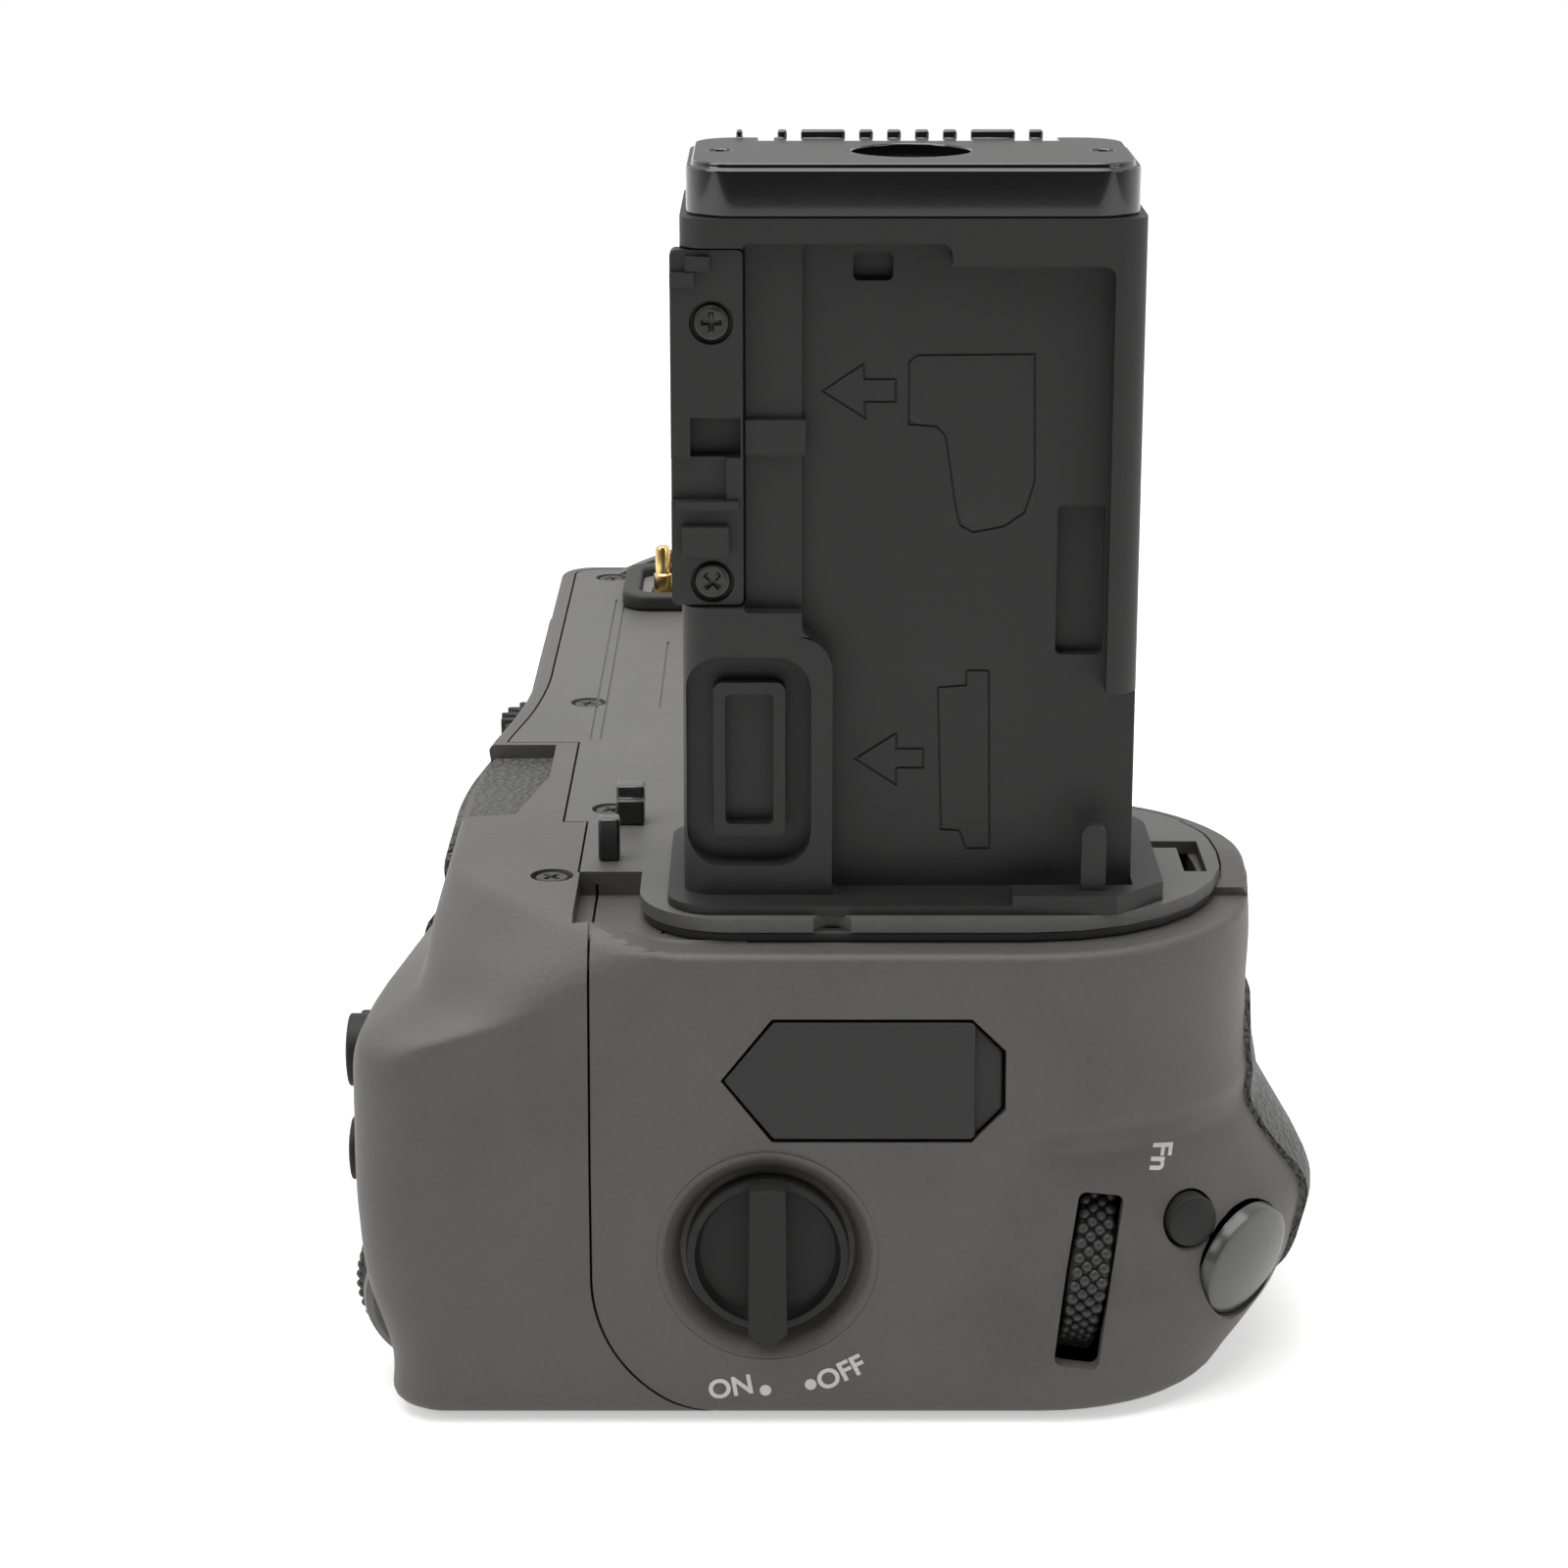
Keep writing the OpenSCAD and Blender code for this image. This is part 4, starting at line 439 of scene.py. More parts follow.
shaped(rear_cover, added=[
    lathe("fairing", [(0, FAIRING_R - 0.4), (0.4, FAIRING_R), (FAIRING_L - 1.5, FAIRING_R),
                      (FAIRING_L - 0.6, FAIRING_R - 0.3), (FAIRING_L, FAIRING_R - 1)],
          (FAIRING_X, QUICK_Y, QUICK_Z), OUTWARD)],
    cutters=[flared(name + "_hole", r + GAP, (x, pod_face(z), z), REARWARD, 6)
             for name, (x, z, r) in REAR_BUTTONS.items()] + [
    flared("stick_hole", STICK_HOLE, (STICK_X, pod_face(STICK_Z) + 0.1, STICK_Z), REARWARD, 6, 0.6),
    block("quick_slot", (QUICK_X - QUICK_W / 2 - GAP, -POD_Y - 5, QUICK_Z - QUICK_R - GAP),
          (QUICK_X + QUICK_W / 2 + GAP, QUICK_Y, QUICK_Z + QUICK_R + GAP)),
    lathe("dial_slot", [(0, DIAL_R + GAP), (DECK_LOW - ROOF_TOP, DIAL_R + GAP)],
          (DIAL_X, DIAL_Y, ROOF_TOP)),
    prism("window", [(WINDOW_LOW, -BIG), (WINDOW_HIGH, -BIG), (WINDOW_HIGH, WINDOW_END), (33.8, -21.8),
                     (WINDOW_BEND, WINDOW_Y), (WINDOW_LOW, WINDOW_Y)], WINDOW_Z, BIG),
    lathe("block_screw_seat", [(-HEAD_H, HEAD_R + 0.1), (5, HEAD_R + 0.1)], (*BLOCK_SCREW, DECK_Z))])


def open_group(name, kind, inputs, outputs):
    """New node group, from the type of each named socket."""
    group = bpy.data.node_groups.new(name, kind)
    for side, sockets in (("INPUT", inputs), ("OUTPUT", outputs)):
        for label, sort in sockets.items():
            group.interface.new_socket(label, in_out=side, socket_type="NodeSocket" + sort)
    return group, made(group, "NodeGroupInput").outputs, made(group, "NodeGroupOutput")


def feed(tree, node, inputs):
    """Gives each input of a node a plain value, or a link from another node's socket."""
    for name, value in inputs.items():
        if isinstance(value, bpy.types.NodeSocket):
            tree.links.new(value, node.inputs[name])
        else:
            node.inputs[name].default_value = value


def made(tree, kind, inputs=None, **settings):
    """New node with its settings and inputs."""
    node = tree.nodes.new(kind)
    for name, value in settings.items():
        setattr(node, name, value)
    feed(tree, node, inputs or {})
    return node


def maths(tree, operation, *terms):
    """Result of a maths node over sockets and plain numbers."""
    return made(tree, "ShaderNodeMath", dict(enumerate(terms)), operation=operation).outputs[0]


TEXTURE_IN = {"Vector": "Vector", "Grain": "Float", "Mottle": "Float"}
TEXTURE_OUT = {"Height": "Float", "Tone": "Float"}


def build_fine_texture():
    """Shared effect: the even texture of spark-eroded moulds and satin paint, with a slow mottle."""
    group, given, out = open_group("fine_texture", "ShaderNodeTree", TEXTURE_IN, TEXTURE_OUT)
    grain = made(group, "ShaderNodeTexNoise", {
        "Vector": given["Vector"], "Scale": given["Grain"], "Detail": 3.0, "Roughness": 0.6}).outputs["Fac"]
    mottle = made(group, "ShaderNodeTexNoise", {
        "Vector": given["Vector"], "Scale": given["Mottle"], "Detail": 2.0}).outputs["Fac"]
    half = maths(group, "MULTIPLY", mottle, 0.5)
    feed(group, out, {"Height": grain, "Tone": maths(group, "MULTIPLY_ADD", grain, 0.5, half)})
    return group


fine_texture = build_fine_texture()


def surface(name, dark, light, roughness, grain=4000.0, mottle=120.0, bump=0.15, depth=0.00004,
            metallic=0.0, coat=0.0, specular=0.5, effect=fine_texture):
    """Material of one finish: two close tones, a spread of roughness and a bump, from a shared effect."""
    material = bpy.data.materials.new(name)
    material.use_nodes = True
    tree = material.node_tree
    place = made(tree, "ShaderNodeTexCoord").outputs["Object"]
    texture = made(tree, "ShaderNodeGroup", {"Vector": place, "Grain": grain, "Mottle": mottle},
                   node_tree=effect).outputs
    tone = made(tree, "ShaderNodeMix", {"Factor": texture["Tone"], "A": (*dark, 1), "B": (*light, 1)},
                data_type="RGBA")
    spread = made(tree, "ShaderNodeMapRange", {"Value": texture["Tone"], "To Min": roughness[0],
                                               "To Max": roughness[1]})
    relief = made(tree, "ShaderNodeBump", {"Strength": bump, "Distance": depth, "Height": texture["Height"]})
    feed(tree, tree.nodes["Principled BSDF"], {
        "Base Color": tone.outputs["Result"], "Roughness": spread.outputs["Result"],
        "Normal": relief.outputs["Normal"], "Metallic": metallic, "Coat Weight": coat,
        "Specular IOR Level": specular})
    return material


def finish_with(piece, material):
    piece.data.materials.clear()
    piece.data.materials.append(material)


housing_paint = surface("housing_paint", (0.046, 0.0445, 0.042), (0.108, 0.104, 0.098), (0.46, 0.62),
                        grain=2400, bump=0.7, depth=0.00008)
for cover, node in ((rear_cover, "rear_cover"), (front_cover, "front_cover")):
    shade(cover, 30)
    finish_with(cover, housing_paint)
    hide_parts(node)
    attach(cover, "grip_body")

# Base plate: the moulded floor of the body, set in the covers' lower edge. Six cross-head screws hold
# it to the chassis, and a turned steel bush in its middle takes the screw of a tripod.
def carved(node, cutters=(), added=(), kept=(), edge=0.15, segments=2):
    """Copy of a CAD node as one clean mesh, shaped further, with its edges broken."""
    mesh = nodes[node].data.copy()
    if "custom_normal" in mesh.attributes:
        mesh.attributes.remove(mesh.attributes["custom_normal"])
    piece = linked(node + "_shape", mesh)
    clean(piece, 0)
    if cutters or added or kept:
        shaped(piece, cutters, kept, added)
    return eased(piece, edge, segments)


def clean(piece, flat):
    """Joins split corners and, above zero degrees, clears edges that lie within a flat face."""
    grid = bmesh.new()
    grid.from_mesh(piece.data)
    bmesh.ops.remove_doubles(grid, verts=grid.verts, dist=0.000002)
    if flat:
        bmesh.ops.dissolve_limit(grid, angle_limit=radians(flat), verts=grid.verts, edges=grid.edges)
    grid.to_mesh(piece.data)
    grid.free()


def eased(piece, edge, segments=2):
    """Breaks the sharp edges of a finished solid."""
    clean(piece, 1)
    soft = piece.modifiers.new("edge", "BEVEL")
    soft.width, soft.segments, soft.limit_method = edge * MM, segments, "ANGLE"
    soft.angle_limit = radians(30)
    freeze(piece)
    return shade(piece, 40)


def fitted(piece, material, slot, *stands_for):
    """Gives a piece its finish and its place among the CAD pieces."""
    finish_with(piece, material)
    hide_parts(*stands_for)
    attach(piece, nodes[stands_for[0]]["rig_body"])
    return piece


def softened(node, material, slot, edge, segments=2, **tools):
    """A CAD node, shaped further and with its edges broken, as the visible piece."""
    return fitted(carved(node, edge=edge, segments=segments, **tools), material, slot, node)


black_plastic = surface("black_plastic", (0.0075, 0.0075, 0.0073), (0.014, 0.0139, 0.0133), (0.5, 0.64),
                        grain=5200, bump=0.3, specular=0.3)
softened("base_plate", black_plastic, "black_plastic", 0.2)


THREAD_PITCH, FLANK_RISE, FLANK_ROOT = 1.27, 1.25, 0.12


def threaded(name, low, high, core, crest, steps=48):
    """Upright rod with a quarter-inch thread: the radius rises and falls along a helix."""
    turn = np.linspace(0, 2 * pi, steps, endpoint=False)
    rings = []
    for z in np.linspace(low, high, max(int((high - low) / THREAD_PITCH * 8), 8)):
        wave = np.abs(((z / THREAD_PITCH - turn / (2 * pi)) % 1) * 2 - 1)
        r = core + (crest - core) * np.clip(wave * FLANK_RISE - FLANK_ROOT, 0, 1)
        rings.append(np.stack([r * np.cos(turn), r * np.sin(turn), np.full(steps, z)], axis=1))
    return loft(name, rings)


dark_steel = surface("dark_steel", (0.05, 0.05, 0.05), (0.12, 0.118, 0.115), (0.3, 0.46),
                     grain=6000, bump=0.12, metallic=1.0)
socket_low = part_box("tripod_socket")[0]
softened("tripod_socket", dark_steel, "steel", 0.12,
         cutters=[threaded("tap", socket_low.z / MM - 1, 8, 3.0, 3.5)])


def build_screw_set():
    """Geometry: one screw on each point, turned to a heading and by chance about its own axis."""
    group, given, out = open_group(
        "screw_set", "GeometryNodeTree", {"Points": "Geometry", "Screw": "Object", "Heading": "Rotation",
                                          "Seed": "Int", "Material": "Material"}, {"Screws": "Geometry"})
    screw = made(group, "GeometryNodeObjectInfo", {"Object": given["Screw"]}).outputs["Geometry"]
    spread = made(group, "GeometryNodeInstanceOnPoints", {
        "Points": given["Points"], "Instance": screw, "Rotation": given["Heading"]})
    chance = made(group, "FunctionNodeRandomValue", {"Max": pi / 2, "Seed": given["Seed"]},
                  data_type="FLOAT")
    angle = made(group, "ShaderNodeCombineXYZ", {"Z": chance.outputs["Value"]}).outputs["Vector"]
    turned = made(group, "GeometryNodeRotateInstances", {
        "Instances": spread.outputs["Instances"], "Rotation": angle})
    return finish_group(group, turned.outputs["Instances"], given, out)


def finish_group(group, instances, given, out):
    """Ends a geometry group: real mesh, with its material set."""
    real = made(group, "GeometryNodeRealizeInstances", {"Geometry": instances}).outputs["Geometry"]
    paint = made(group, "GeometryNodeSetMaterial", {"Geometry": real, "Material": given["Material"]})
    feed(group, out, {0: paint.outputs["Geometry"]})
    return group


def grow(piece, group, values):
    """Runs a geometry group on a piece and keeps the result as a plain mesh."""
    step = piece.modifiers.new(group.name, "NODES")
    step.node_group = group
    for socket in group.interface.items_tree:
        if socket.in_out == "INPUT" and socket.name in values:
            step[socket.identifier] = values[socket.name]
    return freeze(piece)


screw_set = build_screw_set()


def on_points(name, points, screw, seed, material, heading=(0, 0, 0)):
    """Copies of one small piece on a set of points."""
    return grow(link_mesh(name, points, []), screw_set,
                {"Screw": screw, "Heading": heading, "Seed": seed, "Material": material})


def cross_screw(name, r, h, shank, length):
    """One pan-head screw with a cross recess, its crown at the origin, pointing down."""
    head = lathe(name, [(-length, shank * 0.6), (-length + 0.4, shank), (-h - 0.02, shank), (-h, r),
                        (-0.22, r), (-0.08, r * 0.95), (0, r * 0.84)], steps=40)
    bars = []
    for k, (x, y) in enumerate(((0.62 * r, 0.15 * r), (0.15 * r, 0.62 * r))):
        plan = np.array([(-x, -y), (x, -y), (x, y), (-x, y)])
        bars.append(loft(f"{name}_bar{k}", [at_height(plan * (0.72, 0.7), -0.75 * h), at_height(plan, 0.05)]))
    return eased(shaped(head, cutters=bars), 0.035)


screw_steel = surface("screw_steel", (0.028, 0.028, 0.027), (0.07, 0.069, 0.067), (0.34, 0.5),
                      grain=7000, bump=0.15, metallic=0.85)
BASE_SCREWS = [(-2, -14), (-2, 14), (44, -17), (44, 30), (61, -12), (61, 13)]
base_screw = cross_screw("base_screw", 1.6, HEAD_H, 0.9, 5.4)
fitted(on_points("base_screws_set", [(x, y, 0.02) for x, y in BASE_SCREWS], base_screw, 3, screw_steel,
                 heading=(pi, 0, 0)), screw_steel, "steel", "base_screws")
discard([base_screw])

# Chassis and what it carries: a cast alloy frame with bulkheads and bearings, two circuit boards, the
# switch bodies behind each control, and gold-plated blades at the inner end of the battery bay.
cast_alloy = surface("cast_alloy", (0.1, 0.1, 0.098), (0.2, 0.198, 0.19), (0.42, 0.6),
                     grain=2600, bump=0.4, metallic=0.8)
solder_mask = surface("solder_mask", (0.006, 0.04, 0.022), (0.014, 0.085, 0.045), (0.28, 0.42),
                      grain=900, mottle=700, bump=0.2, coat=0.3)
gold_plate = surface("gold_plate", (0.72, 0.48, 0.16), (0.9, 0.66, 0.28), (0.16, 0.3),
                     grain=5000, bump=0.06, metallic=1.0)
INNER = {cast_alloy: ["chassis", "main_dial_bracket", "quick_dial_bracket"],
         solder_mask: ["main_board", "rear_board", "switch_wafer"],
         gold_plate: ["bay_contacts", "magazine_contacts"],
         dark_steel: ["main_dial_axle", "quick_dial_axle"],
         black_plastic: ["shutter_switch", "function_switch", "rear_switches", "stick_housing", "stick_yoke",
                         "magazine_tray", "battery_rear", "battery_front"]}
for material, names in INNER.items():
    for name in names:
        finish_with(nodes[name], material)

# Deck plate: the painted face under the camera, screwed down over a soft seal. Thin lines are moulded
# along it, and a low guard rises behind the connector at the far end.
LINE_W, LINE_D = 0.22, 0.16
DECK_LINES = [(-52, STEP_X - 1, -15.1), (-52, STEP_X - 1, -16.1), (-32, -4, -9.6)]
lines = [block(f"line{k}", (x0, y - LINE_W / 2, DECK_Z - LINE_D), (x1, y + LINE_W / 2, DECK_Z + 0.5))
         for k, (x0, x1, y) in enumerate(DECK_LINES)]
deck_plate = shaped(carved("deck_plate", edge=0.4, segments=3), cutters=lines)
# Deck plate paint: the covers' paint with the plate's own olive tint, made a little lighter as painted light
# on the upward-facing plate.
deck_olive_and_painted_light = surface("deck_olive_and_painted_light", (0.05, 0.0496, 0.044), (0.115, 0.114, 0.103), (0.45, 0.6),
                     grain=2400, bump=0.7, depth=0.00008)
fitted(shade(deck_plate, 35), deck_olive_and_painted_light, "housing_paint", "deck_plate")
soft_rubber = surface("soft_rubber", (0.011, 0.011, 0.0108), (0.019, 0.0188, 0.0182), (0.55, 0.72),
                      grain=3600, bump=0.25)
softened("rim_seal", soft_rubber, "rubber", 0.3, 3)
DECK_SCREWS = [(FAR_X + 6, -17.2), (31.9, -13), (FAR_X + 6, 17.2), (20, 15), BLOCK_SCREW]
deck_screw = cross_screw("deck_screw", 1.5, HEAD_H, 0.85, 2.6)
fitted(on_points("deck_screws_set", [(x, y, DECK_Z - HEAD_SUNK) for x, y in DECK_SCREWS], deck_screw, 8,
                 screw_steel), screw_steel, "steel", "deck_screws")

# Camera screw and its drive: a steel quarter-inch screw on a gear, turned by the release dial at the
# deck's rear edge, whose rim comes through a slot in the rear cover.
SCREW_R, SCREW_OUT, THREAD_D = 3.1, 5.5, 0.62
below_deck = block("below_deck", (-20, -20, 0), (20, 20, DECK_Z + 0.6))
rod = threaded("rod", DECK_Z, DECK_Z + SCREW_OUT, SCREW_R - THREAD_D, SCREW_R)
softened("attachment_screw", dark_steel, "steel", 0.08, kept=[shaped(below_deck, added=[rod])])
softened("release_dial", black_plastic, "black_plastic", 0.22)


def joined(name, pieces):
    """One mesh of several."""
    grid = bmesh.new()
    for piece in pieces:
        grid.from_mesh(piece.data)
    mesh = bpy.data.meshes.new(name)
    grid.to_mesh(mesh)
    grid.free()
    discard(pieces)
    return linked(name, mesh)


axle_screw = cross_screw("axle_screw", 1.5, HEAD_H, 0.85, 0.7)
axle_head = on_points("axle_head", [(DIAL_X, DIAL_Y, DECK_Z - HEAD_SUNK)], axle_screw, 4, screw_steel)
discard([axle_screw])
below_head = block("below_head", (-30, -40, 0), (20, 0, DECK_Z - HEAD_H - 0.2))
axle = carved("release_axle", kept=[below_head], edge=0.05)
fitted(joined("release_axle_screw", [axle, axle_head]), screw_steel, "steel", "release_axle")

# Connector to the camera: a soft rubber frame that seals against the camera's base, a grey block inside
# it, and a row of gold-plated spring pins standing in the block's slot.
softened("connector_frame", soft_rubber, "rubber", 0.5, 4)
grey_resin = surface("grey_resin", (0.11, 0.11, 0.108), (0.16, 0.16, 0.155), (0.4, 0.55), bump=0.2)
softened("connector_block", grey_resin, "alloy", 0.2)
pins_low, pins_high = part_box("contact_pins")
PIN_R, PIN_COUNT = 1.05, 5
pin_x = (pins_low.x + pins_high.x) / 2 / MM
pin_tall = (pins_high.z - pins_low.z) / MM
spring_pin = lathe("spring_pin", [
    (0, PIN_R * 0.98), (pin_tall * 0.62, PIN_R * 0.98), (pin_tall * 0.64, PIN_R * 0.8),
    (pin_tall - 0.5, PIN_R * 0.8), (pin_tall - 0.2, PIN_R * 0.66), (pin_tall - 0.05, PIN_R * 0.4),
    (pin_tall, PIN_R * 0.1)], steps=32)
pin_rows = np.linspace(pins_low.y / MM + PIN_R, pins_high.y / MM - PIN_R, PIN_COUNT)
spring_pins = on_points("spring_pins", [(pin_x, y, pins_low.z / MM) for y in pin_rows], spring_pin, 1,
                        gold_plate)
discard([spring_pin])
fitted(shade(spring_pins, 30), gold_plate, "gold_contact", "contact_pins")

# Hooks: two moulded blocks on the deck that take the place of the camera's battery door hinge. They are
# harder than the covers and have a slight gloss.
hook_black = surface("hook_black", (0.009, 0.009, 0.009), (0.016, 0.016, 0.0155), (0.26, 0.4),
                     grain=3000, bump=0.15, coat=0.25)
softened("door_hooks", hook_black, "black_plastic", 0.3, 3)

# Tower: the moulded plug that fills the camera's battery bay. Its face stores the camera's battery door
# and is engraved with arrows and outlines that show how; a screwed catch holds the door.
TOWER_X, RECESS_D = 60.4, 2.6
FACE_X = TOWER_X - RECESS_D
SIGN_W, SIGN_D = 0.2, 0.22
ARROW_HIGH = [(6.3, 88.2), (9.7, 90.5), (9.8, 89.2), (12.4, 89.2), (12.4, 87.3), (9.8, 87.3), (9.9, 85.9)]
ARROW_LOW = [(9.2, 56.4), (12.7, 58.7), (12.7, 57.3), (15, 57.3), (15, 55.6), (12.7, 55.6), (12.7, 54.1)]
DOOR_HIGH = [(23.9, 91.3), (14.1, 91.2), (13.5, 90.6), (13.5, 85.4), (15.9, 85.2), (16.6, 84.4), (17.5, 78.4),
             (17.9, 76.8), (19, 76.2), (21.6, 76.7), (23.3, 77.9), (24.1, 80.6)]
DOOR_LOW = [(18.6, 64.2), (20.5, 64.2), (20.8, 48.4), (18.8, 48.4), (18.2, 50), (16.6, 50.1), (16.2, 62.7),
            (18.6, 62.9)]


def engraved(name, points):
    """Cutter that follows a closed outline on the tower's face as a fine groove."""
    flat = np.array(points, float)
    after = np.roll(flat, -1, axis=0)
    side = after - flat
    out = np.stack([side[:, 1], -side[:, 0]], axis=1) / np.linalg.norm(side, axis=1)[:, None]
    clockwise = np.sum(flat[:, 0] * after[:, 1] - after[:, 0] * flat[:, 1]) < 0
    if clockwise:
        out = -out
    last = np.roll(out, 1, axis=0)
    corner = (out + last) / (1 + np.sum(out * last, axis=1))[:, None].clip(0.4)
    wide, narrow = flat + corner * SIGN_W / 2, flat - corner * SIGN_W / 2
    if clockwise:
        wide, narrow = wide[::-1], narrow[::-1]
    groove = prism(name, wide, FACE_X - SIGN_D, FACE_X + 0.5, axis="x")
    return shaped(groove, cutters=[prism(name + "_middle", narrow, FACE_X - 1, FACE_X + 1, axis="x")])


tower_black = surface("tower_black", (0.0075, 0.0077, 0.0073), (0.0125, 0.0128, 0.0122), (0.5, 0.62),
                      grain=5200, bump=0.28, specular=0.45)
SIGNS = {"arrow_high": ARROW_HIGH, "arrow_low": ARROW_LOW, "door_high": DOOR_HIGH, "door_low": DOOR_LOW}
tower = shaped(carved("tower_shell", edge=0.4, segments=3),
               cutters=[engraved(name, points) for name, points in SIGNS.items()])
fitted(shade(tower, 35), tower_black, "black_plastic", "tower_shell")
softened("door_clip", tower_black, "black_plastic", 0.18)
CLIP_Y, CLIP_HEIGHTS = -2.9, (28.2, 50)
clip_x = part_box("clip_screws")[1].x / MM
fitted(on_points("clip_screws_set", [(clip_x, CLIP_Y, DECK_Z + v) for v in CLIP_HEIGHTS], deck_screw, 5,
                 screw_steel, heading=(0, pi / 2, 0)), screw_steel, "steel", "clip_screws")
discard([deck_screw])
gloss_black = surface("gloss_black", (0.004, 0.004, 0.004), (0.0065, 0.0065, 0.0063), (0.06, 0.12),
                      grain=2500, bump=0.03, coat=0.6)
# Upward faces of the cap: a satin finish, with a lighter tone than the gloss black that is painted light from
# above.
cap_satin_and_painted_light = surface("cap_satin_and_painted_light", (0.02, 0.0202, 0.0195), (0.03, 0.0303, 0.029), (0.48, 0.6), bump=0.25)
cap = softened("tower_cap", gloss_black, "gloss_black", 0.3, 3)
cap.data.materials.append(cap_satin_and_painted_light)
# Faces that point up take the lighter satin material: painted light on the cap's top.
for polygon in cap.data.polygons:
    if polygon.normal.z > 0.8:
        polygon.material_index = 1
softened("tower_contacts", gold_plate, "gold_contact", 0.06)

# Grained rubber: skins glued over the thumb rest and the hand grip, and a wedge let into the deck's
# rear edge. They are moulded with a leather grain and follow the body's outline.
def build_leather():
    """Shared effect: moulded leather grain, domed cells of uneven size."""
    group, given, out = open_group("leather", "ShaderNodeTree", TEXTURE_IN, TEXTURE_OUT)
    stir = made(group, "ShaderNodeTexNoise", {
        "Vector": given["Vector"], "Scale": given["Mottle"], "Detail": 2.0}).outputs
    shift = made(group, "ShaderNodeMix", {"Factor": 0.0006, "A": given["Vector"], "B": stir["Color"]},
                 data_type="VECTOR").outputs["Result"]
    cells = made(group, "ShaderNodeTexVoronoi", {"Vector": shift, "Scale": given["Grain"]},
                 feature="DISTANCE_TO_EDGE").outputs["Distance"]
    domes = made(group, "ShaderNodeMapRange", {"Value": cells, "From Max": 0.32},
                 interpolation_type="SMOOTHSTEP").outputs["Result"]
    quarter = maths(group, "MULTIPLY", stir["Fac"], 0.25)
    feed(group, out, {"Height": domes, "Tone": maths(group, "MULTIPLY_ADD", domes, 0.75, quarter)})
    return group


SKIN_T, SKIN_SUNK = 0.55, 0.4
grained_rubber = surface("grained_rubber", (0.03, 0.0298, 0.029), (0.085, 0.084, 0.082), (0.45, 0.62),
                         grain=1150, mottle=900, bump=0.9, depth=0.00025, effect=build_leather())


def skin(name, first, last, levels, panel):
    """Stretch of the body's outline, thickened outward and trimmed to a panel."""
    sides = [[at_height(body_ring(z, inset)[first:last], z) for z in levels]
             for inset in (SKIN_SUNK, -SKIN_T)]
    rings = [np.vstack([inner, outer[::-1]]) for inner, outer in zip(*sides)]
    return eased(shaped(loft(name, rings), kept=[panel]), 0.2)


def upright(name, low, high, r, y0, y1):
    """Rounded panel in the (x, z) plane, as a solid along y."""
    outline = round_outline(low, high, r)[::-1]
    return loft(name, [at_height(outline, y)[:, [0, 2, 1]] for y in (y0, y1)])


thumb_low, thumb_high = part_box("thumb_pad")
grip_low, grip_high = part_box("grip_pad")
THUMB_TOP = 42.0
thumb_panel = upright("thumb_panel", (thumb_low.x / MM, thumb_low.z / MM),
                      (thumb_high.x / MM + 0.6, THUMB_TOP), 4, -60, -15)
thumb_pad = skin("thumb_skin", 15, 90, np.linspace(4, THUMB_TOP + 1, 60), thumb_panel)
fitted(thumb_pad, grained_rubber, "rubber", "thumb_pad")
grip_panel = upright("grip_panel", (grip_low.x / MM, grip_low.z / MM),
                     (grip_high.x / MM, grip_high.z / MM), 8, 20, 80)
grip_pad = skin("grip_skin", 155, 224, np.linspace(3, 36, 48), grip_panel)
fitted(grip_pad, grained_rubber, "rubber", "grip_pad")
INLAY_GAP = 0.1
inlay_low, inlay_high, inlay_y = WINDOW_LOW + INLAY_GAP, WINDOW_HIGH - INLAY_GAP, WINDOW_Y - INLAY_GAP
wedge = prism("wedge", [(inlay_high, -BIG), (inlay_high, WINDOW_END), (33.6, -22.2), (WINDOW_BEND, inlay_y),
                        (inlay_low, inlay_y), (inlay_low, -BIG)], WINDOW_Z - 0.3, WINDOW_Z + 0.7)
inlay = eased(shaped(wedge, kept=[prism("inlay_edge", body_ring(DECK_LOW, 0.5), 0, BIG)]), 0.15)
fitted(inlay, grained_rubber, "rubber", "thumb_inlay")

# Power switch: a moulded knob with a raised grip bar, turning in a dished ring let into the end face.
# White marks printed on the cover show its two positions.
dish = lathe("dish", [
    (-DISH_D - 1.2, DISH_R + 0.38), (-0.03, DISH_R + 0.38), (-0.04, DISH_R + 0.25), (-0.12, DISH_R - 0.05),
    (-0.35, DISH_R - 0.35), (-DISH_D, 7.5), (-DISH_D - 0.1, 7.2), (-DISH_D - 0.1, 0.05)],
    SWITCH_AT, OUTWARD, steps=96)
shaped(dish, cutters=[lathe("shaft_hole", [(-9, 2.6), (3, 2.6)], SWITCH_AT, OUTWARD)])
fitted(shade(dish, 30), housing_paint, "housing_paint", "switch_dish")
BAR_W, BAR_OUT, KNOB_R = 3.3, 1.8, 7.1
knob = lathe("knob", [(-1.75, KNOB_R - 0.1), (-0.55, KNOB_R - 0.1), (-0.3, KNOB_R - 0.2),
                      (-0.2, KNOB_R - 0.45)], SWITCH_AT, OUTWARD, steps=96)
well = lathe("well", [(-1.25, KNOB_R - 1.3), (-0.9, KNOB_R - 0.95), (1, KNOB_R - 0.7)], SWITCH_AT, OUTWARD,
             steps=96)
half = BAR_W / 2
bar = [p for p in arc((0, 0), KNOB_R - 0.2, 0.24, pi - 0.24, 13) if abs(p[0]) < half]
bar += [(-half, -6.4), (-0.6, -7.2), (0, -7.5), (0.6, -7.2), (half, -6.4)]
bar = [(SWITCH_Y + y, SWITCH_Z + z) for y, z in bar]
shaped(shaped(knob, cutters=[well]), added=[prism("bar", bar, SWITCH_X - 1.7, SWITCH_X + BAR_OUT, axis="x")])
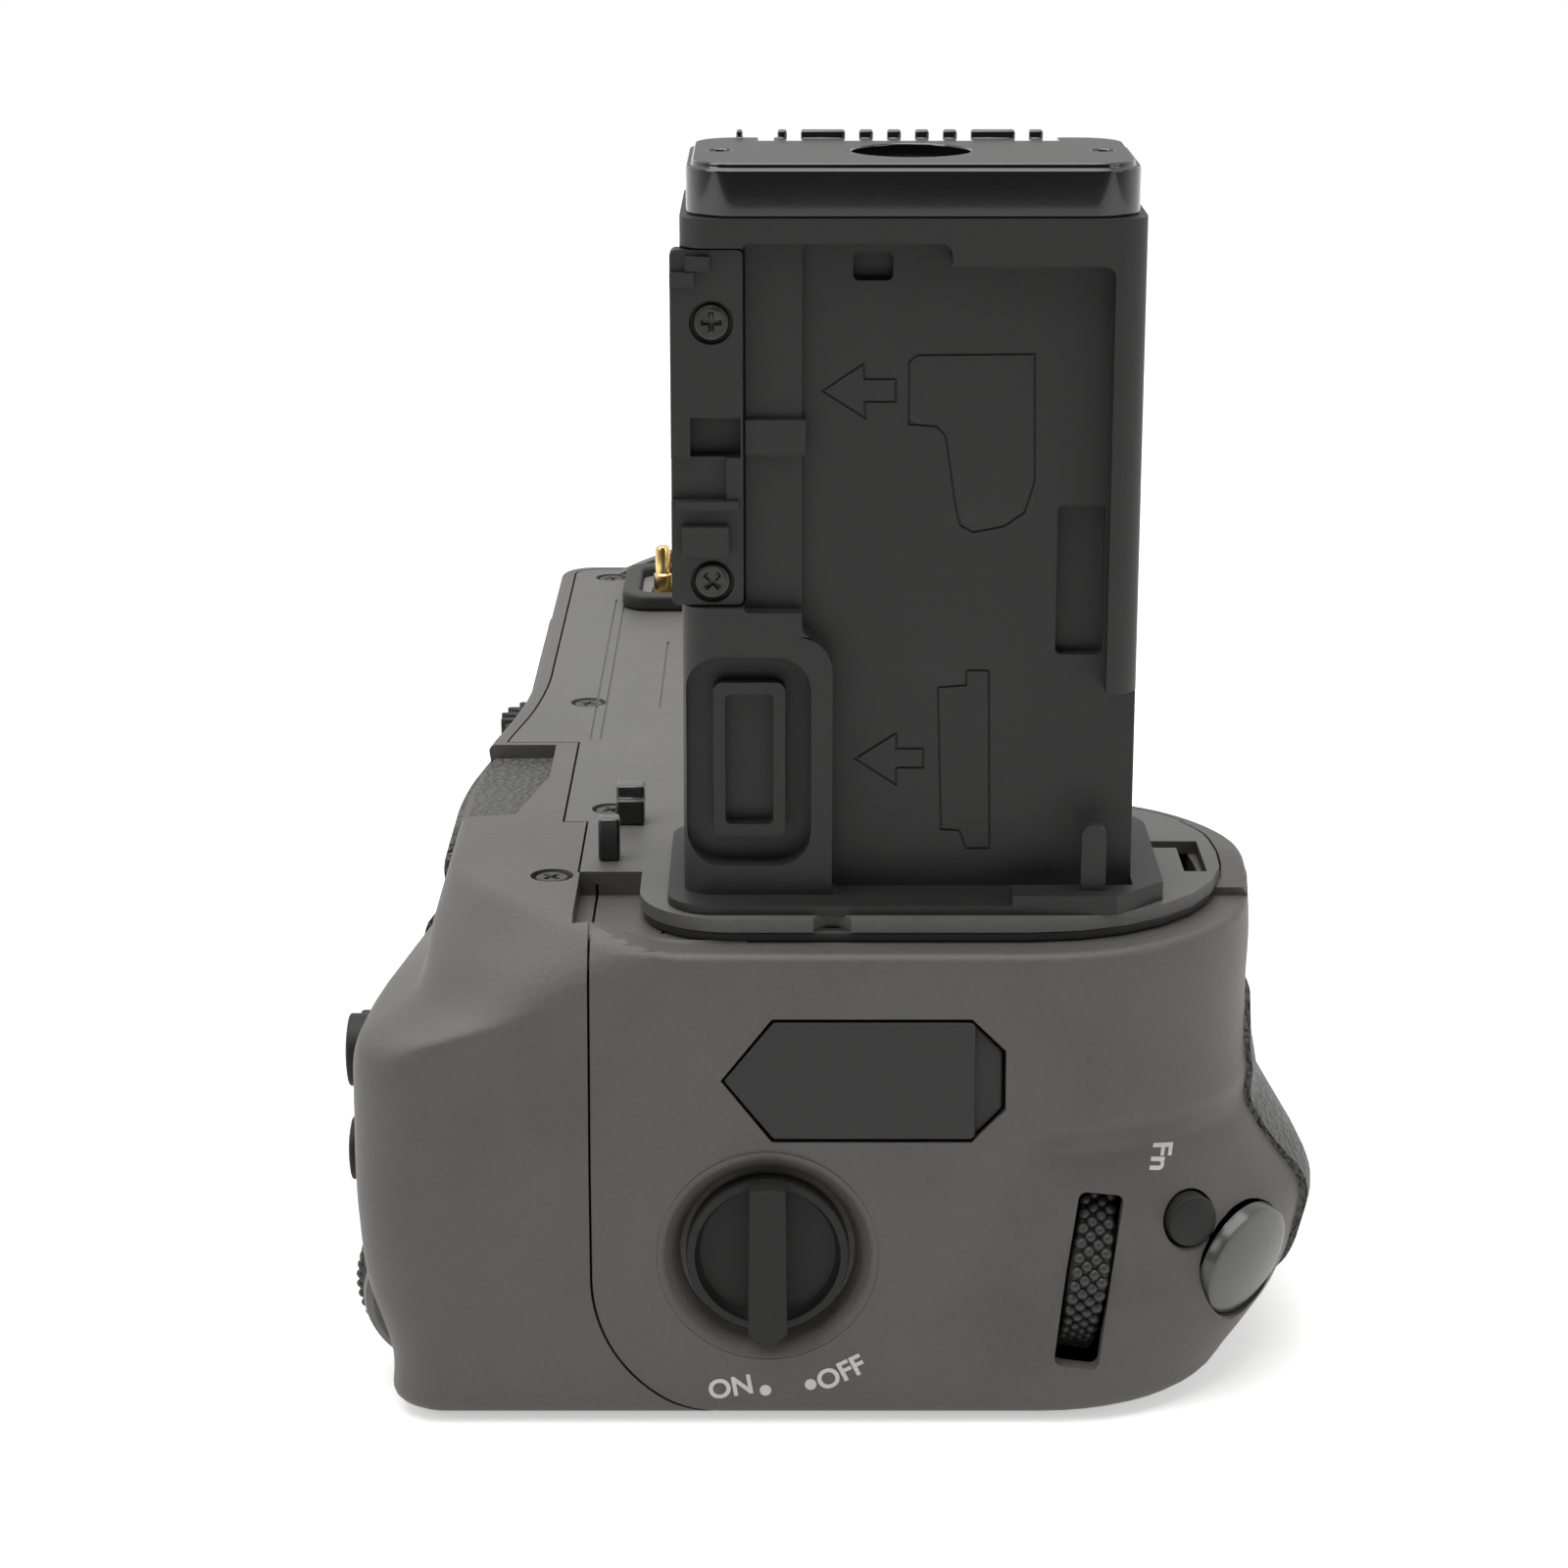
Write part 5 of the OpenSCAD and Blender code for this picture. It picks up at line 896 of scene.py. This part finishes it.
shaft = carved("power_switch", kept=[block("behind", (0, -20, 0), (SWITCH_X - 1.9, 20, 40))], edge=0.1)
fitted(joined("switch_knob", [eased(knob, 0.2, 3), shaft]), black_plastic, "black_plastic", "power_switch")


MARK_T, BEFORE_X, BESIDE_X = 0.02, 90, 60


def printed(name, text, size, at, angle):
    """Flat lettering in the (y, z) plane, laid on the front cover."""
    data = bpy.data.curves.new(name, "FONT")
    data.body, data.size, data.extrude, data.offset, data.resolution_u = text, size, MARK_T, 0.06, 4
    holder = linked(name, data)
    bpy.context.view_layer.update()
    mesh = bpy.data.meshes.new_from_object(holder.evaluated_get(bpy.context.evaluated_depsgraph_get()))
    bpy.data.objects.remove(holder)
    bpy.data.curves.remove(data)
    stand = Matrix(((0, 0, 1, 0), (1, 0, 0, at[0]), (0, 1, 0, at[1]), (0, 0, 0, 1)))
    mesh.transform(Matrix.Scale(MM, 4) @ stand @ Matrix.Rotation(radians(angle), 4, "Z"))
    return laid_on(linked(name, mesh))


def laid_on(piece):
    """Drops a flat mark along -x on to the front cover's surface, keeping its thickness."""
    for vertex in piece.data.vertices:
        start = Vector((BEFORE_X * MM, vertex.co.y, vertex.co.z))
        hit, place, *_ = front_cover.ray_cast(start, Vector((-1, 0, 0)))
        vertex.co.x = place.x + vertex.co.x + MARK_T * MM if hit else BESIDE_X * MM
    return piece


def dot(name, at, r):
    return laid_on(lathe(name, [(-MARK_T, r), (MARK_T, r)], (0, *at), OUTWARD, steps=32))


white_print = surface("white_print", (0.52, 0.51, 0.48), (0.66, 0.65, 0.62), (0.5, 0.65), grain=6000)
marks = joined("switch_marks", [printed("on", "ON", 2.45, (-3.3, 2.45), 10), dot("on_dot", (1.5, 3.3), 0.5),
                                dot("off_dot", (5.4, 3.85), 0.5), printed("off", "OFF", 2.5, (6.4, 3.2), 27),
                                printed("function", "Fn", 2.5, (34.9, 24.6), -100)])
finish_with(marks, white_print)
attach(marks, "grip_body")

# Side cover: a firm rubber flap on a living hinge at its pointed end, flush with the end face, with a
# finger pull at the other end. It shuts on a seat behind the cover's wall.
softened("side_cover", soft_rubber, "rubber", 0.22, 3)
SEAT = 1.85
seat = prism("seat", flap_outline(0.8), -SEAT - 1, -WALL - 0.05, axis="x")
shaped(seat, cutters=[prism("seat_well", flap_outline(0.2), -SEAT, 3, axis="x")])
placed(seat, FLAP_TURN, FLAP_AT)
dish_room = lathe("dish_room", [(-9, DISH_R + 0.7), (3, DISH_R + 0.7)], SWITCH_AT, OUTWARD)
fitted(eased(shaped(seat, cutters=[dish_room]), 0.1), black_plastic, "black_plastic", "side_cover_frame")

# Main dial: a rubber-tyred wheel under the forefinger, its tread moulded in staggered studs.
# The same tread runs round the quick dial on the rear.
def build_stud_wheel():
    """Geometry: rows of studs round a wheel's rim, each row shifted by half a step."""
    group, given, out = open_group(
        "stud_wheel", "GeometryNodeTree",
        {"Core": "Geometry", "Radius": "Float", "Width": "Float", "Stud": "Float", "Columns": "Int",
         "Rows": "Int", "Material": "Material"}, {"Wheel": "Geometry"})
    columns, rows = given["Columns"], given["Rows"]
    line = made(group, "GeometryNodeMeshLine", {"Count": maths(group, "MULTIPLY", columns, rows)})
    index = made(group, "GeometryNodeInputIndex").outputs[0]
    row = maths(group, "FLOOR", maths(group, "DIVIDE", index, columns))
    stagger = maths(group, "MULTIPLY", maths(group, "MODULO", row, 2), 0.5)
    column = maths(group, "ADD", maths(group, "MODULO", index, columns), stagger)
    turn = maths(group, "DIVIDE", maths(group, "MULTIPLY", column, 2 * pi), columns)
    share = maths(group, "SUBTRACT", maths(group, "DIVIDE", maths(group, "ADD", row, 0.5), rows), 0.5)
    rim = made(group, "ShaderNodeCombineXYZ", {
        "X": maths(group, "MULTIPLY", maths(group, "COSINE", turn), given["Radius"]),
        "Y": maths(group, "MULTIPLY", maths(group, "SINE", turn), given["Radius"]),
        "Z": maths(group, "MULTIPLY", share, given["Width"])})
    spot = made(group, "GeometryNodeSetPosition", {
        "Geometry": line.outputs["Mesh"], "Position": rim.outputs["Vector"]})
    stud = made(group, "GeometryNodeMeshIcoSphere", {"Subdivisions": 2, "Radius": given["Stud"]})
    spread = made(group, "GeometryNodeInstanceOnPoints", {
        "Points": spot.outputs["Geometry"], "Instance": stud.outputs["Mesh"]})
    both = made(group, "GeometryNodeJoinGeometry", {"Geometry": given["Core"]})
    feed(group, both, {"Geometry": spread.outputs["Instances"]})
    return finish_group(group, both.outputs["Geometry"], given, out)


stud_wheel = build_stud_wheel()


def wheel(name, radius, width, stud, columns, rows, material, turn, at):
    """Studded wheel on its axle, turned from +z to its axis and set in place."""
    low, half = radius - stud * 0.95, width / 2
    piece = lathe(name, [(-half, low * 0.35), (-half, low - 0.5), (-half + 0.35, low), (half - 0.35, low),
                         (half, low - 0.5), (half, low * 0.35)], steps=96)
    grow(piece, stud_wheel, {"Radius": (radius - stud * 0.98) * MM, "Width": (width - 0.5) * MM,
                             "Stud": stud * MM, "Columns": columns, "Rows": rows, "Material": material})
    return placed(shade(piece, 50), turn, at)


tread_rubber = surface("tread_rubber", (0.017, 0.017, 0.0165), (0.028, 0.028, 0.0272), (0.36, 0.5), bump=0.2)
main_wheel = wheel("main_wheel", MAIN_R, MAIN_W, 0.58, 44, 4, tread_rubber,
                   MAIN_TURN @ Matrix.Rotation(pi / 2, 4, "X"), MAIN_AT)
fitted(main_wheel, tread_rubber, "rubber", "main_dial")

# Shutter and multi-function buttons: turned-edge moulded caps, the shutter's polished and domed, on the
# rounded corner where the forefinger rests.
def push_button(name, r, low, high, dome, at, to, edge=0.25):
    """Round cap with a broken edge and a domed top."""
    ball = (r * r + dome * dome) / (2 * dome)
    top = [(high - ball + sqrt(ball**2 - w**2), w) for w in np.linspace(r - edge, 0.05, 12)]
    side = [(low, r), (top[0][0] - edge, r), (top[0][0] - edge * 0.3, r - edge * 0.3)]
    return shade(lathe(name, side + top, at, to, steps=80), 35)


shutter_satin = surface("shutter_satin", (0.045, 0.045, 0.044), (0.062, 0.062, 0.06), (0.2, 0.28),
                        grain=5200, bump=0.1)
fitted(push_button("shutter_cap", SHUTTER_R, -1.7, 0.0, 0.5, SHUTTER_AT, SHUTTER_TO), shutter_satin,
       "gloss_black", "shutter_button")
fitted(push_button("function_cap", FUNCTION_R, -1.7, 0.6, 0.3, FUNCTION_AT, FUNCTION_TO, 0.3), black_plastic,
       "black_plastic", "function_button")

# Rear controls: three round buttons, the studded quick dial half sunk beside its fairing, and the thumb
# stick with a soft domed cap.
REAR_OUT, REAR_DEPTH = 1.3, 6
for name, (x, z, r) in REAR_BUTTONS.items():
    button = push_button(name + "_cap", r, -REAR_DEPTH, REAR_OUT, 0.35, (x, pod_face(z), z), REARWARD)
    fitted(button, black_plastic, "black_plastic", name)
fitted(wheel("quick_wheel", QUICK_R, QUICK_W, 0.42, 48, 6, tread_rubber, Matrix.Rotation(pi / 2, 4, "Y"),
             (QUICK_X, QUICK_Y, QUICK_Z)), tread_rubber, "rubber", "quick_dial")
softened("stick_cap", tread_rubber, "rubber", 0.3, 3)

# Battery magazine: a tray for two packs behind a painted end cover, held by a turn latch with a grip bar
# across its pocket.
softened("magazine_cover", housing_paint, "housing_paint", 0.4, 3)
softened("magazine_latch", black_plastic, "black_plastic", 0.3, 3)

# Studio: a white floor under broad soft lamps, seen through a short telephoto from the control end. The
# world is dim on the camera's side, so that the black plastic keeps its depth.
def lamp(name, at, target, size, power):
    data = bpy.data.lights.new(name, "AREA")
    data.shape, data.size, data.size_y, data.energy = "RECTANGLE", size, size, power
    light = linked(name, data)
    light.location = at
    light.rotation_euler = (Vector(target) - Vector(at)).to_track_quat("-Z", "Y").to_euler()


lamp("overhead", (0.1, -0.1, 0.9), (0.02, 0, 0.03), 0.9, 11)
lamp("front_fill", (0.55, -0.9, 0.65), (0.03, 0, 0.04), 0.5, 3.2)
lamp("side_fill", (0.5, 0.8, 0.45), (0.03, 0, 0.04), 0.5, 1.8)

FLOOR = 800
floor = link_mesh("floor", [(FLOOR * x, FLOOR * y, 0) for x, y in ((-1, -1), (1, -1), (1, 1), (-1, 1))],
                  [(0, 1, 2, 3)])


def rays(tree):
    """Light path: what the camera sees itself, and what it sees mirrored or through glass."""
    ray = made(tree, "ShaderNodeLightPath").outputs
    return ray["Is Camera Ray"], maths(tree, "MAXIMUM", ray["Is Glossy Ray"], ray["Is Transmission Ray"])


floor_white = bpy.data.materials.new("floor_white")
floor_white.use_nodes = True
glow = floor_white.node_tree
straight = maths(glow, "MAXIMUM", *rays(glow))
feed(glow, glow.nodes["Principled BSDF"], {
    "Base Color": (0.7, 0.695, 0.69, 1), "Roughness": 0.9, "Emission Color": (1, 1, 1, 1),
    "Emission Strength": maths(glow, "MULTIPLY", straight, 0.5)})
finish_with(floor, floor_white)

world = bpy.data.worlds.new("studio")
bpy.context.scene.world = world
world.use_nodes = True
sky = world.node_tree
toward = made(sky, "ShaderNodeTexCoord").outputs["Generated"]
parts = made(sky, "ShaderNodeSeparateXYZ", {"Vector": toward}).outputs
room = made(sky, "ShaderNodeMapRange", {"Value": parts["X"], "From Min": -0.2, "From Max": 0.6,
                                        "To Min": 1.0, "To Max": 0.09}).outputs["Result"]
straight, mirrored = rays(sky)
lit = maths(sky, "MULTIPLY", room, maths(sky, "MULTIPLY_ADD", mirrored, 0.45, 0.55))
feed(sky, sky.nodes["Background"], {"Color": (1, 1, 1, 1), "Strength": maths(sky, "MAXIMUM", lit, straight)})

camera_data = bpy.data.cameras.new("photo_view")
camera_data.sensor_width = 36.0
camera_data.lens = 85.5
camera = linked("photo_view", camera_data)
PITCH = radians(16.25)
camera.matrix_world = Matrix((
    (0, -sin(PITCH), cos(PITCH), 0.3644),
    (1, 0, 0, 0.0031),
    (0, cos(PITCH), sin(PITCH), 0.1435),
    (0, 0, 0, 1)))
bpy.context.scene.camera = camera
bpy.context.scene.view_settings.view_transform = "Standard"
